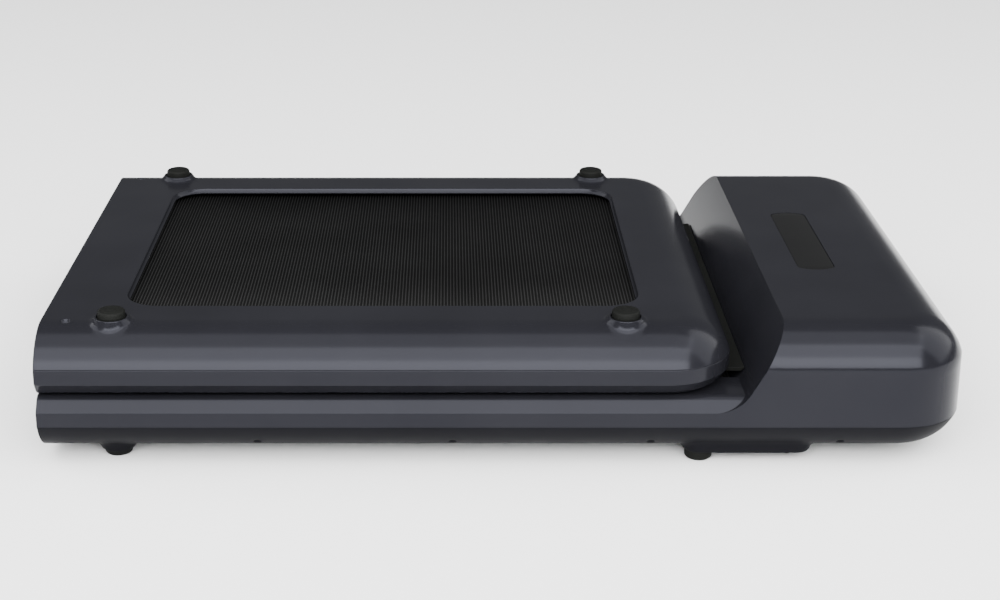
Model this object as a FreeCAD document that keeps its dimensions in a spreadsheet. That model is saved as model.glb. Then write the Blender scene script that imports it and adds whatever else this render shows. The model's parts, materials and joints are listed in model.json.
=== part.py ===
import FreeCAD, Part
import math
import operator
import os

import Sketcher
from FreeCAD import Rotation, Vector

# A folding walking-pad treadmill, folded shut. The front half carries the motor head and lies
# on its feet; the rear half lies upside down on it, hinged at the low X end. X runs along the
# treadmill (the head is at +X), Y across it, Z up. The origin is on the floor under the middle.

DOC = FreeCAD.newDocument("FoldingTreadmill")

# Driving dimensions in millimetres: alias, value, meaning.
DIMENSIONS = (
    ("half_length", 415.5, "middle of the folded treadmill to either end"),
    ("half_width", 259.5, "middle plane to the outermost side crease"),
    ("hinge_height", 69.0, "fold axis above the floor; the halves mirror about this height"),
    ("knuckle_radius", 5.0, "hinge knuckle, which stands out past the rail ends"),
    ("end_gap", 0.5, "each half stops this far short of the fold plane"),
    ("base_height", 11.0, "flat underside of the base above the floor"),
    ("crease_height", 42.0, "lower side crease above the floor"),
    ("band_height", 13.5, "upright band above the crease"),
    ("edge_run", 45.0, "width of the curved side between flat and crease"),
    ("wall", 2.5, "shell thickness"),
    ("corner_radius", 60.0, "plan corner at the crease"),
    ("ledge_inner", 207.0, "inner edge of the side ledges"),
    ("ledge_outer", 250.0, "outer edge of the side ledges"),
    ("ledge_drop", 1.0, "ledge below the fold plane"),
    ("head_height", 129.0, "flat top of the motor head"),
    ("head_crease", 96.0, "crease round the motor head"),
    ("slope_foot", 209.3, "where the head's slope would meet the band's top"),
    ("slope_run", 41.7, "length of the head's slope along X"),
    ("slope_blend", 20.3, "tangent length of the rounded foot of the slope"),
    ("rear_end", 207.0, "rear half's crease at its free end"),
    ("belt_half_width", 200.0, "walking belt"),
    ("belt_thick", 1.6, "walking belt"),
    ("walk_height", 61.5, "walking surface of the front half"),
    ("return_height", 19.0, "underside of the returning belt"),
    ("roller_gap", 0.3, "clearance between the belt and its rollers"),
    ("front_roller_x", 265.0, "drive roller axis"),
    ("rear_roller_x", 166.0, "idle roller axis"),
    ("guide_radius", 12.5, "fold guide rollers"),
    ("guide_axle_radius", 4.0, "fold guide roller axles"),
    ("roller_half", 203.0, "half length of the rollers"),
    ("axle_radius", 6.0, "roller axles"),
    ("bearing_radius", 15.0, "roller bearings"),
    ("running_gap", 0.05, "radial clearance of a running fit"),
    ("beam_inner", 219.0, "inner face of the side beams"),
    ("beam_outer", 239.0, "outer face of the side beams"),
    ("beam_low", 25.0, "underside of the side beams"),
    ("beam_high", 57.0, "top of the side beams"),
    ("beam_wall", 2.0, "side beam tube wall"),
    ("front_beam_end", 350.0, "front side beams end here"),
    ("rear_beam_end", 174.0, "rear side beams end here"),
    ("deck_thick", 11.0, "walking deck"),
    ("deck_half_width", 205.0, "walking deck"),
    ("cross_low", 27.0, "underside of the cross members"),
    ("cross_high", 45.0, "top of the cross members"),
    ("cross_width", 30.0, "cross members along X"),
    ("motor_x", 345.0, "motor axis"),
    ("motor_z", 67.0, "motor axis"),
    ("motor_radius", 38.0, "motor can"),
    ("motor_pulley_radius", 10.0, "motor pulley"),
    ("roller_pulley_radius", 24.0, "drive roller pulley"),
    ("pulley_inner", 204.0, "pulleys start at this Y"),
    ("pulley_width", 13.0, "pulleys"),
    ("drive_belt_thick", 2.0, "ribbed drive belt"),
    ("foot_radius", 12.5, "rubber foot"),
    ("boss_radius", 15.5, "ring round a foot, at its face"),
    ("boss_base_radius", 17.5, "ring round a foot, where it enters the shell"),
    ("foot_seat", 2.0, "depth of a foot's seat in its ring"),
    ("foot_proud", 6.5, "rubber foot standing out of its ring"),
    ("head_foot_proud", 9.2, "foot near the head standing out of its pod"),
    ("foot_y", 218.0, "feet from the middle plane"),
    ("hinge_foot_x", -346.0, "feet near the hinge"),
    ("rear_foot_x", 111.0, "rear half's feet near its free end"),
    ("head_foot_x", 179.0, "front half's feet near the head"),
    ("head_foot_y", 228.0, "front half's feet near the head"),
    ("pod_start", 165.0, "wheel pod along X"),
    ("pod_end", 279.0, "wheel pod along X"),
    ("pod_floor", 12.9, "top of the pod where it passes under the drive belt"),
    ("pod_half", 14.0, "wheel pod half width"),
    ("wheel_x", 258.0, "transport wheel axle"),
    ("wheel_z", 14.5, "transport wheel axle"),
    ("wheel_y", 229.5, "transport wheel from the middle plane"),
    ("wheel_radius", 8.5, "transport wheel"),
    ("wheel_half", 6.0, "transport wheel half width"),
    ("wheel_axle_radius", 3.0, "transport wheel axle"),
    ("window_start", -343.0, "opening in the rear cover"),
    ("window_end", 129.0, "opening in the rear cover"),
    ("window_half", 180.0, "opening in the rear cover, half width"),
    ("window_corner", 33.0, "opening in the rear cover, corner radius"),
    ("window_bevel", 3.0, "slant of the opening's wall"),
    ("display_x", 306.0, "middle of the display"),
    ("display_half_x", 17.5, "display, half its short side"),
    ("display_half_y", 82.0, "display, middle to the start of its bowed end"),
    ("display_bow", 6.0, "display, depth of its bowed ends"),
    ("inlet_y", 120.0, "power inlet"),
    ("inlet_z", 67.0, "power inlet and switch"),
    ("switch_y", 78.0, "power switch"),
)


class Size:
    """A length that carries both its spreadsheet formula and its present value."""

    def __init__(self, formula, value):
        self.formula = formula
        self.value = value

    def __add__(self, other):
        return combine(self, "+", other)

    def __radd__(self, other):
        return combine(other, "+", self)

    def __sub__(self, other):
        return combine(self, "-", other)

    def __rsub__(self, other):
        return combine(other, "-", self)

    def __mul__(self, other):
        return combine(self, "*", other)

    def __rmul__(self, other):
        return combine(other, "*", self)

    def __truediv__(self, other):
        return combine(self, "/", other)

    def __neg__(self):
        return combine(0, "-", self)


OPERATORS = {"+": operator.add, "-": operator.sub, "*": operator.mul, "/": operator.truediv}


def plain(number):
    """Lets a bare number stand beside named sizes in a formula."""
    if isinstance(number, Size):
        return number
    return Size("(" + repr(float(number)) + ")", float(number))


def combine(left, sign, right):
    left = plain(left)
    right = plain(right)
    formula = "(" + left.formula + " " + sign + " " + right.formula + ")"
    return Size(formula, OPERATORS[sign](left.value, right.value))


def root(size):
    return Size("sqrt" + plain(size).formula, math.sqrt(plain(size).value))


def fill_sheet():
    """Writes the driving dimensions and returns them as sizes by alias."""
    sheet = DOC.addObject("Spreadsheet::Sheet", "Dimensions")
    sizes = {}
    for row, (alias, value, meaning) in enumerate(DIMENSIONS, start=1):
        sheet.set("A" + str(row), str(value))
        sheet.setAlias("A" + str(row), alias)
        sheet.set("B" + str(row), meaning)
        sizes[alias] = Size("Dimensions." + alias, value)
    DOC.recompute()
    return sizes


SIZES = fill_sheet()


def size(alias):
    return SIZES[alias]


def bind(thing, name, length):
    """Ties one property to its formula."""
    setting = plain(length)
    thing.setExpression(name, setting.formula)


# ---------------------------------------------------------------- primitives and booleans

TURNS = {
    "x": Rotation(Vector(0, 1, 0), 90),
    "y": Rotation(Vector(1, 0, 0), -90),
    "z": Rotation(),
}


def place(thing, corner):
    for letter, length in zip("xyz", corner):
        bind(thing, "Placement.Base." + letter, length)


def box(name, x_span, y_span, z_span):
    """A block between the low and high ends of three spans."""
    spans = (x_span, y_span, z_span)
    block = DOC.addObject("Part::Box", name)
    for side, (low, high) in zip(("Length", "Width", "Height"), spans):
        bind(block, side, high - plain(low))
    place(block, [span[0] for span in spans])
    return block


def round_base(kind, name, axis, centre, span):
    """A round primitive along one axis; centre gives the two other coordinates in order."""
    thing = DOC.addObject("Part::" + kind, name)
    thing.Placement = FreeCAD.Placement(Vector(), TURNS[axis])
    bind(thing, "Height", span[1] - plain(span[0]))
    corner = list(centre)
    corner.insert("xyz".index(axis), span[0])
    place(thing, corner)
    return thing


def cylinder(name, axis, centre, span, radius):
    thing = round_base("Cylinder", name, axis, centre, span)
    bind(thing, "Radius", radius)
    return thing


def cone(name, axis, centre, span, low_radius, high_radius):
    thing = round_base("Cone", name, axis, centre, span)
    bind(thing, "Radius1", low_radius)
    bind(thing, "Radius2", high_radius)
    return thing


def fuse(name, pieces):
    whole = DOC.addObject("Part::MultiFuse", name)
    whole.Shapes = pieces
    return whole


def cut(name, base, tools):
    """The base less one or more tools."""
    tool = tools[0] if len(tools) == 1 else fuse(name + "_tools", tools)
    rest = DOC.addObject("Part::Cut", name)
    rest.Base = base
    rest.Tool = tool
    return rest


def group(name, pieces):
    """Separate solids that share one node."""
    cluster = DOC.addObject("Part::Compound", name)
    cluster.Links = pieces
    return cluster


def ring(name, axis, centre, span, outer, inner):
    shell = cylinder(name + "_outside", axis, centre, span, outer)
    hole = cylinder(name + "_bore", axis, centre, span, inner)
    return cut(name, shell, [hole])


def around(middle, half):
    """Span that reaches half to each hand of the middle."""
    return (middle - half, middle + half)


def across(side, inner, outer):
    """A span in Y between two distances from the middle plane, on one side."""
    if side < 0:
        return (-plain(outer), -plain(inner))
    return (plain(inner), plain(outer))


# ---------------------------------------------------------------- sketches and bodies

START, END, CENTRE = 1, 2, 3
ORIGIN = -1
HALF_CIRCLE_TOLERANCE = 1e-6


def body(name):
    return DOC.addObject("PartDesign::Body", name)


def sketch(owner, name, plane, offset=0):
    """A sketch on one of its body's origin planes, moved along the plane's normal."""
    drawing = owner.newObject("Sketcher::SketchObject", name)
    support = [item for item in owner.Origin.OriginFeatures if item.Role == plane][0]
    drawing.AttachmentSupport = [(support, "")]
    drawing.MapMode = "FlatFace"
    bind(drawing, "AttachmentOffset.Base.z", offset)
    return drawing


def pin_coordinate(drawing, kind, geometry, end, length):
    """Ties one coordinate (DistanceX or DistanceY) of a point of the sketch."""
    length = plain(length)
    constraint = Sketcher.Constraint(kind, ORIGIN, START, geometry, end, length.value)
    index = drawing.addConstraint(constraint)
    bind(drawing, "Constraints[" + str(index) + "]", length)


def pin_point(drawing, geometry, end, point):
    """Ties one point of the sketch to its two coordinates."""
    for kind, length in zip(("DistanceX", "DistanceY"), point):
        pin_coordinate(drawing, kind, geometry, end, length)


def arc_between(start, end, radius, turn):
    """An arc of known radius; turn is +1 anticlockwise and -1 clockwise from start to end."""
    half = (end - start) * 0.5
    side = Vector(-half.y, half.x, 0)
    side.normalize()
    rise = math.sqrt(max(radius ** 2 - half.Length ** 2, 0))
    middle = start + half + side * rise * turn
    circle = Part.Circle(middle, Vector(0, 0, 1), radius)
    first = math.atan2(start.y - middle.y, start.x - middle.x)
    last = math.atan2(end.y - middle.y, end.x - middle.x)
    if turn < 0:
        first, last = last, first
    return Part.ArcOfCircle(circle, first, last)


def outline(drawing, corners, closed=True):
    """Lines and arcs through corners (x, y) or (x, y, radius, turn).

    A radius and turn make the stretch from that corner to the next one an arc. A half circle,
    which stands upright here, is held by its centre, because its radius adds nothing.
    """
    count = len(corners)
    stretches = count if closed else count - 1
    for number in range(stretches):
        here = corners[number]
        after = corners[(number + 1) % count]
        start = Vector(plain(here[0]).value, plain(here[1]).value, 0)
        end = Vector(plain(after[0]).value, plain(after[1]).value, 0)
        first, last = START, END
        if len(here) == 4:
            radius = plain(here[2])
            index = drawing.addGeometry(arc_between(start, end, radius.value, here[3]), False)
            if here[3] < 0:
                first, last = END, START
            if abs((end - start).Length - 2 * radius.value) < HALF_CIRCLE_TOLERANCE:
                pin_coordinate(drawing, "DistanceX", index, CENTRE, here[0])
            else:
                rule = drawing.addConstraint(Sketcher.Constraint("Radius", index, radius.value))
                bind(drawing, "Constraints[" + str(rule) + "]", radius)
        else:
            index = drawing.addGeometry(Part.LineSegment(start, end), False)
        pin_point(drawing, index, first, here[:2])
        pin_point(drawing, index, last, after[:2])
    return drawing


def rounded_corners(x_span, y_span, radius):
    """Corners of a rounded rectangle, anticlockwise from the low corner."""
    low_x, high_x = plain(x_span[0]), plain(x_span[1])
    low_y, high_y = plain(y_span[0]), plain(y_span[1])
    return [
        (low_x + radius, low_y),
        (high_x - radius, low_y, radius, 1),
        (high_x, low_y + radius),
        (high_x, high_y - radius, radius, 1),
        (high_x - radius, high_y),
        (low_x + radius, high_y, radius, 1),
        (low_x, high_y - radius),
        (low_x, low_y + radius, radius, 1),
    ]


def extrude(owner, kind, drawing, length, backwards=False, midplane=False):
    feature = owner.newObject("PartDesign::" + kind, drawing.Name + "_" + kind)
    feature.Profile = drawing
    feature.Reversed = backwards
    feature.SideType = "Symmetric" if midplane else "One side"
    bind(feature, "Length", length)
    DOC.recompute()
    return feature


def pipe(owner, profile, path):
    feature = owner.newObject("PartDesign::AdditivePipe", profile.Name + "_Pipe")
    feature.Profile = profile
    feature.Spine = path
    DOC.recompute()
    return feature


def loft(owner, kind, first, last):
    feature = owner.newObject("PartDesign::" + kind, first.Name + "_" + kind)
    feature.Profile = first
    feature.Sections = [last]
    DOC.recompute()
    return feature


# ---------------------------------------------------------------- shared levels and places

HINGE_X = size("knuckle_radius") - size("half_length")
HALF_START = HINGE_X + size("end_gap")
HEAD_END = size("half_length")
FLAT_HALF = size("half_width") - size("edge_run")
WALL = size("wall")
FOLD_Z = size("hinge_height")


class Half:
    """Heights in one half: the rear half is the front half turned over about the fold plane."""

    def __init__(self, name, flip):
        self.name = name
        self.flip = flip

    def height(self, height):
        if self.flip:
            return 2 * FOLD_Z - height
        return plain(height)

    def span(self, low, high):
        if self.flip:
            return (self.height(high), self.height(low))
        return (plain(low), plain(high))

    def turn(self, direction):
        return -direction if self.flip else direction


FRONT = Half("front", False)
REAR = Half("rear", True)

SIDES = (("left", 1), ("right", -1))


def edge_radius(rise):
    """Radius of the curved side that leaves the flat tangentially and climbs by rise."""
    run = size("edge_run")
    return (run * run + rise * rise) / (2 * rise)


def shell_edge(half, flat, rim, flat_wide, rim_wide):
    """Wall section of a curved side in (across, up): outer arc, then inner arc back.

    flat_wide and rim_wide place the flat's edge and the crease across the section.
    """
    rise = rim - flat
    radius = edge_radius(rise)
    inner = radius - WALL
    centre = flat + radius
    drop = centre - rim
    inner_wide = flat_wide + root(inner * inner - drop * drop)
    return [
        (flat_wide, half.height(flat), radius, half.turn(1)),
        (rim_wide, half.height(rim)),
        (inner_wide, half.height(rim), inner, half.turn(-1)),
        (flat_wide, half.height(flat + WALL)),
    ]


def round_path(drawing, start_x, end_x, half_width, radius):
    """Path round the free end of a half: along one side, round the end and back."""
    wide = plain(half_width)
    return outline(drawing, [
        (start_x, wide),
        (end_x - radius, wide, radius, -1),
        (end_x, wide - radius),
        (end_x, radius - wide, radius, -1),
        (end_x - radius, -wide),
        (start_x, -wide),
    ], closed=False)


def curved_shell(name, half, end_x):
    """An open tray with a flat floor and curved sides round three of its edges."""
    tray = body(name)
    path = sketch(tray, name + "_path", "XY_Plane", half.height(size("crease_height")))
    round_path(path, HALF_START, end_x, size("half_width"), size("corner_radius"))
    edge = sketch(tray, name + "_edge", "YZ_Plane", HALF_START)
    outline(edge, shell_edge(half, size("base_height"), size("crease_height"),
                             FLAT_HALF, size("half_width")))
    pipe(tray, edge, path)
    floor_span = half.span(size("base_height"), size("base_height") + WALL)
    plate = sketch(tray, name + "_floor", "XY_Plane", floor_span[0])
    flat_corner = size("corner_radius") - size("edge_run")
    flat_end = end_x - size("edge_run")
    outline(plate, [
        (HALF_START, -FLAT_HALF),
        (flat_end - flat_corner, -FLAT_HALF, flat_corner, 1),
        (flat_end, flat_corner - FLAT_HALF),
        (flat_end, FLAT_HALF - flat_corner, flat_corner, 1),
        (flat_end - flat_corner, FLAT_HALF),
        (HALF_START, FLAT_HALF),
    ])
    extrude(tray, "Pad", plate, WALL)
    return tray


# ---------------------------------------------------------------- levels and places of the drive

BELT = size("belt_thick")
GAP = size("roller_gap")
RUN_GAP = size("running_gap")
BAND_TOP = size("crease_height") + size("band_height")
LEDGE_TOP = FOLD_Z - size("ledge_drop")
DECK_TOP = size("walk_height") - BELT
RETURN_TOP = size("return_height") + BELT
ROLLER_Z = (size("walk_height") + size("return_height")) / 2
ROLLER_RADIUS = (DECK_TOP - RETURN_TOP) / 2 - GAP
GUIDE_X = HALF_START + size("guide_radius")
GUIDE_Z = RETURN_TOP + GAP + size("guide_radius")
COVER_SCREW_X = HALF_START + 23
CROSS_XS = {"front": (-370.0, -178.5, 13.0, 204.0), "rear": (-370.0, -209.0, -50.0, 108.0)}
ROLLER_X = {"front": size("front_roller_x"), "rear": size("rear_roller_x")}
BEAM_END = {"front": size("front_beam_end"), "rear": size("rear_beam_end")}
KNUCKLE_SLOT_END = HINGE_X + 23
KNUCKLE_SLOT = (211.0, 234.0)


# ---------------------------------------------------------------- screws that hold the base shell

RAIL_SCREW_XS = (-217.0, -43.0, 134.0)
HEAD_SCREW_X = 303.0
SCREW_XS = RAIL_SCREW_XS + (HEAD_SCREW_X,)
SCREW_Y = 245.0
SCREW_SHANK = 1.6
SCREW_SEAT_Z = 28.8
SCREW_BOSS_TOP = 31.5
SCREW_TIP_Z = 45.0
SCREW_POST_RADIUS = 4
SCREW_BOSS_RADIUS = 5.4
SCREW_RECESS_RADIUS = 3.8
SCREW_HEAD_RADIUS = 3.4
SCREW_HEAD_HEIGHT = 2.4


def screw_post(name, x, side, top):
    """Post above the base shell's boss and the pilot hole in it: returns (post, pilot)."""
    centre = (x, side * SCREW_Y)
    low = SCREW_BOSS_TOP + 0.2
    post = cylinder(name, "z", centre, (low, top), SCREW_POST_RADIUS)
    pilot = cylinder(name + "_pilot", "z", centre, (low - 1, SCREW_TIP_Z + 1), SCREW_SHANK)
    return post, pilot


def screw_well(name, x, side):
    """Boss inside the base shell, the recess for a screw's head and its hole."""
    centre = (x, side * SCREW_Y)
    boss = cylinder(name + "_boss", "z", centre, (SCREW_SEAT_Z - 1, SCREW_BOSS_TOP),
                    SCREW_BOSS_RADIUS)
    recess = cylinder(name + "_recess", "z", centre, (10, SCREW_SEAT_Z), SCREW_RECESS_RADIUS)
    hole = cylinder(name + "_hole", "z", centre, (SCREW_SEAT_Z - 1, SCREW_BOSS_TOP + 1), SCREW_SHANK)
    return boss, [recess, hole]


def base_screws():
    screws = []
    for number, x in enumerate(SCREW_XS):
        for label, side in SIDES:
            name = "base_screw_" + str(number) + label
            centre = (x, side * SCREW_Y)
            head = cylinder(name + "_head", "z", centre, (SCREW_SEAT_Z - SCREW_HEAD_HEIGHT, SCREW_SEAT_Z),
                            SCREW_HEAD_RADIUS)
            shank = cylinder(name + "_shank", "z", centre, (SCREW_SEAT_Z, SCREW_TIP_Z), SCREW_SHANK)
            screws.append(fuse(name, [head, shank]))
    return group("base_screws", screws)


# ---------------------------------------------------------------- side rails and end pieces

def rail_section(half, side=1):
    """Hollow section of a side rail: band, slanted face and ledge, open towards the shell."""
    slant_in = WALL * 0.4
    slant_down = WALL * 0.5
    points = [
        (size("half_width"), size("crease_height")),
        (size("half_width"), BAND_TOP),
        (size("ledge_outer"), LEDGE_TOP),
        (size("ledge_inner"), LEDGE_TOP),
        (size("ledge_inner"), LEDGE_TOP - WALL),
        (size("ledge_outer") - slant_in, LEDGE_TOP - WALL),
        (size("half_width") - WALL, BAND_TOP - slant_down),
        (size("half_width") - WALL, size("crease_height")),
    ]
    return [(side * wide, half.height(high)) for wide, high in points]


def knuckle_slot(name, half, side):
    span = half.span(size("beam_high") - 1, LEDGE_TOP + 1)
    return box(name + "_slot", (HALF_START - 1, KNUCKLE_SLOT_END), across(side, *KNUCKLE_SLOT), span)


def end_wall(name, half, side):
    """Wall that closes a rail and the shell beside it at the fold."""
    wall = body(name + "_end")
    drawing = sketch(wall, name + "_end_shape", "YZ_Plane", HALF_START)
    inset = WALL + 0.6
    points = [
        (size("ledge_inner"), size("base_height") + inset),
        (size("ledge_inner") + 13, size("base_height") + inset + 1.6),
        (size("ledge_outer") - 3, size("crease_height") - 14.5),
        (size("half_width") - 6, size("crease_height") - 2),
        (size("half_width") - 3, size("crease_height") + 0.2),
        (size("half_width") - 1, size("crease_height") + 0.4),
        (size("half_width") - 1, BAND_TOP - 1),
        (size("ledge_outer") - 1, LEDGE_TOP - 1),
        (size("ledge_inner"), LEDGE_TOP - 1),
    ]
    outline(drawing, [(side * wide, half.height(high)) for wide, high in points])
    extrude(wall, "Pad", drawing, WALL)
    return wall


def side_rail(name, half, side, end_x):
    rail = body(name + "_bar")
    section = sketch(rail, name + "_section", "YZ_Plane", HALF_START)
    outline(section, rail_section(half, side))
    extrude(rail, "Pad", section, end_x - HALF_START)
    added = [rail, end_wall(name, half, side)]
    removed = [knuckle_slot(name, half, side)]
    if not half.flip:
        for number, x in enumerate(RAIL_SCREW_XS):
            post, pilot = screw_post(name + "_post_" + str(number), x, side, LEDGE_TOP - 1)
            added.append(post)
            removed.append(pilot)
    return cut(name, fuse(name + "_blank", added), removed)


# ---------------------------------------------------------------- feet

RING_ROOT = size("beam_low") - 1
FOOT_ROUND = 1.5


def foot_ring(name, half, x, y, proud):
    """Ring that stands out of the shell and the seat cut into it: returns (ring, seat)."""
    low, high = half.span(proud, RING_ROOT)
    radii = (size("boss_radius"), size("boss_base_radius"))
    if half.flip:
        radii = radii[::-1]
    boss = cone(name + "_boss", "z", (x, y), (low, high), *radii)
    seat_span = half.span(proud - 1, proud + size("foot_seat"))
    seat = cylinder(name + "_seat", "z", (x, y), seat_span, size("foot_radius") + 0.5)
    return boss, seat


def rubber_foot(name, half, x, y, proud):
    low, high = half.span(0, proud + size("foot_seat"))
    pad = cylinder(name + "_pad", "z", (x, y), (low, high), size("foot_radius"))
    rounded = DOC.addObject("Part::Fillet", name)
    rounded.Base = pad
    DOC.recompute()
    level = half.height(0).value
    edges = []
    for index, edge in enumerate(pad.Shape.Edges, start=1):
        box_of_edge = edge.BoundBox
        if abs(box_of_edge.ZMax - level) < 0.01 and abs(box_of_edge.ZMin - level) < 0.01:
            edges.append((index, FOOT_ROUND, FOOT_ROUND))
    rounded.Edges = edges
    return rounded


HINGE_FOOT = (size("hinge_foot_x"), size("foot_y"), size("foot_proud"))
HEAD_FOOT = (size("head_foot_x"), size("head_foot_y"), size("head_foot_proud"))
FRONT_FEET = [HINGE_FOOT, HEAD_FOOT]
REAR_FEET = [HINGE_FOOT, (size("rear_foot_x"), size("foot_y"), size("foot_proud"))]


def feet(name, half, places):
    pads = []
    for number, (x, y, proud) in enumerate(places, start=1):
        for label, side in SIDES:
            pads.append(rubber_foot(name + "_" + str(number) + label, half, x, side * y, proud))
    return group(name, pads)


# ---------------------------------------------------------------- outer shells

POD_HEIGHT = size("head_foot_proud")
WHEEL_AXLE_SPAN = (219.0, 240.5)


def wheel_pod(label, side):
    """Pod that carries a transport wheel: low all over, tall only clear of the drive belt."""
    pod = body("pod_" + label)
    spans = (
        ("low", size("head_foot_y") - size("pod_half"), size("pod_floor")),
        ("tall", size("beam_inner"), size("beam_low") - 0.2),
    )
    for part, inner, top in spans:
        drawing = sketch(pod, "pod_" + part + "_" + label, "XY_Plane", POD_HEIGHT)
        y_span = across(side, inner, size("head_foot_y") + size("pod_half"))
        corner = (size("head_foot_y") + size("pod_half") - inner) / 2 - 0.5
        outline(drawing, rounded_corners((size("pod_start"), size("pod_end")), y_span, corner))
        extrude(pod, "Pad", drawing, top - POD_HEIGHT)
    return pod


def wheel_room(label, side):
    """Well of a transport wheel and the hole of its axle."""
    reach = size("wheel_radius") + 1.2
    clear = size("wheel_half") + 0.8
    well = box("wheel_well_" + label, around(size("wheel_x"), reach),
               across(side, size("wheel_y") - clear, size("wheel_y") + clear),
               (POD_HEIGHT - 1, size("beam_low") + 1))
    hole = cylinder("wheel_axle_hole_" + label, "y", (size("wheel_x"), size("wheel_z")),
                    across(side, *WHEEL_AXLE_SPAN), size("wheel_axle_radius"))
    return [well, hole]


def base_shell():
    """Bottom tray of the front half with foot rings and the pods of the transport wheels."""
    added = [curved_shell("base_tray", FRONT, HEAD_END)]
    removed = []
    for label, side in SIDES:
        added.append(wheel_pod(label, side))
        removed.extend(wheel_room(label, side))
        for number, (x, y, proud) in enumerate(FRONT_FEET):
            boss, seat = foot_ring("base_ring_" + str(number) + label, FRONT, x, side * y, proud)
            added.append(boss)
            removed.append(seat)
        for number, x in enumerate(SCREW_XS):
            boss, holes = screw_well("base_screw_well_" + str(number) + label, x, side)
            added.append(boss)
            removed.extend(holes)
    return cut("base_shell", fuse("base_shell_blank", added), removed)


def head_solid(name, inset):
    """The motor head as a full block, or shrunk by inset all round for its inside."""
    block = body(name)
    flat_top = size("head_height") - inset
    rim = size("half_width") - inset
    radius = edge_radius(size("head_height") - size("head_crease")) - inset
    centre = size("head_height") - edge_radius(size("head_height") - size("head_crease"))
    reach = rim - FLAT_HALF
    crease = centre + root(radius * radius - reach * reach)
    start_x = size("slope_foot") - size("slope_blend")
    path = sketch(block, name + "_path", "XY_Plane", size("crease_height"))
    round_path(path, start_x, HEAD_END - inset, rim, size("corner_radius") - inset)
    edge = sketch(block, name + "_edge", "YZ_Plane", start_x)
    outline(edge, [
        (FLAT_HALF, size("crease_height")),
        (rim, size("crease_height")),
        (rim, crease, radius, 1),
        (FLAT_HALF, flat_top),
    ])
    pipe(block, edge, path)
    core = sketch(block, name + "_core", "XY_Plane", size("crease_height"))
    corner = size("corner_radius") - size("edge_run")
    flat_end = HEAD_END - size("edge_run")
    outline(core, [
        (start_x, -FLAT_HALF),
        (flat_end - corner, -FLAT_HALF, corner, 1),
        (flat_end, corner - FLAT_HALF),
        (flat_end, FLAT_HALF - corner, corner, 1),
        (flat_end - corner, FLAT_HALF),
        (start_x, FLAT_HALF),
    ])
    extrude(block, "Pad", core, flat_top - size("crease_height"))
    return block


SLOPE_RISE = size("head_height") - BAND_TOP
SLOPE_LENGTH = root(size("slope_run") * size("slope_run") + SLOPE_RISE * SLOPE_RISE)
SLOPE_ALONG = size("slope_run") / SLOPE_LENGTH
SLOPE_UP = SLOPE_RISE / SLOPE_LENGTH
BLEND_RADIUS = size("slope_blend") * SLOPE_RISE / (SLOPE_LENGTH - size("slope_run"))
SLOPE_START_X = size("slope_foot") - size("slope_blend")


def slope_point(distance, depth):
    """A point on the slope, distance up from its foot and depth below its face."""
    return (size("slope_foot") + distance * SLOPE_ALONG + depth * SLOPE_UP,
            BAND_TOP + distance * SLOPE_UP - depth * SLOPE_ALONG)


def above_slope(name, depth):
    """All that lies above the head's slope, taken depth below its face."""
    wedge = body(name)
    drawing = sketch(wedge, name + "_shape", "XZ_Plane")
    top = slope_point(SLOPE_LENGTH * 1.2, depth)
    outline(drawing, [
        (SLOPE_START_X, BAND_TOP - depth, BLEND_RADIUS + depth, 1),
        slope_point(size("slope_blend"), depth),
        top,
        (SLOPE_START_X - 5, top[1]),
        (SLOPE_START_X - 5, BAND_TOP - depth),
    ])
    extrude(wedge, "Pad", drawing, 2 * size("half_width") + 10, midplane=True)
    return wedge


def bowed_corners(half_x, half_y, bow):
    """Display outline: straight long sides and bowed short ends."""
    middle = size("display_x")
    radius = (half_x * half_x + bow * bow) / (2 * bow)
    return [
        (middle - half_x, -half_y, radius, 1),
        (middle + half_x, -half_y),
        (middle + half_x, half_y, radius, 1),
        (middle - half_x, half_y),
    ]


def display_plate(name, low, high, margin):
    plate = body(name)
    drawing = sketch(plate, name + "_shape", "XY_Plane", low)
    outline(drawing, bowed_corners(size("display_half_x") + margin,
                                   size("display_half_y") + margin, size("display_bow")))
    extrude(plate, "Pad", drawing, high - plain(low))
    return plate


INLET_HALF_Y = 14.0
INLET_HALF_Z = 10.0
SWITCH_HALF_Y = 10.0
SWITCH_HALF_Z = 8.0
HEAD_POST_TOP = 113.0


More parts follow.
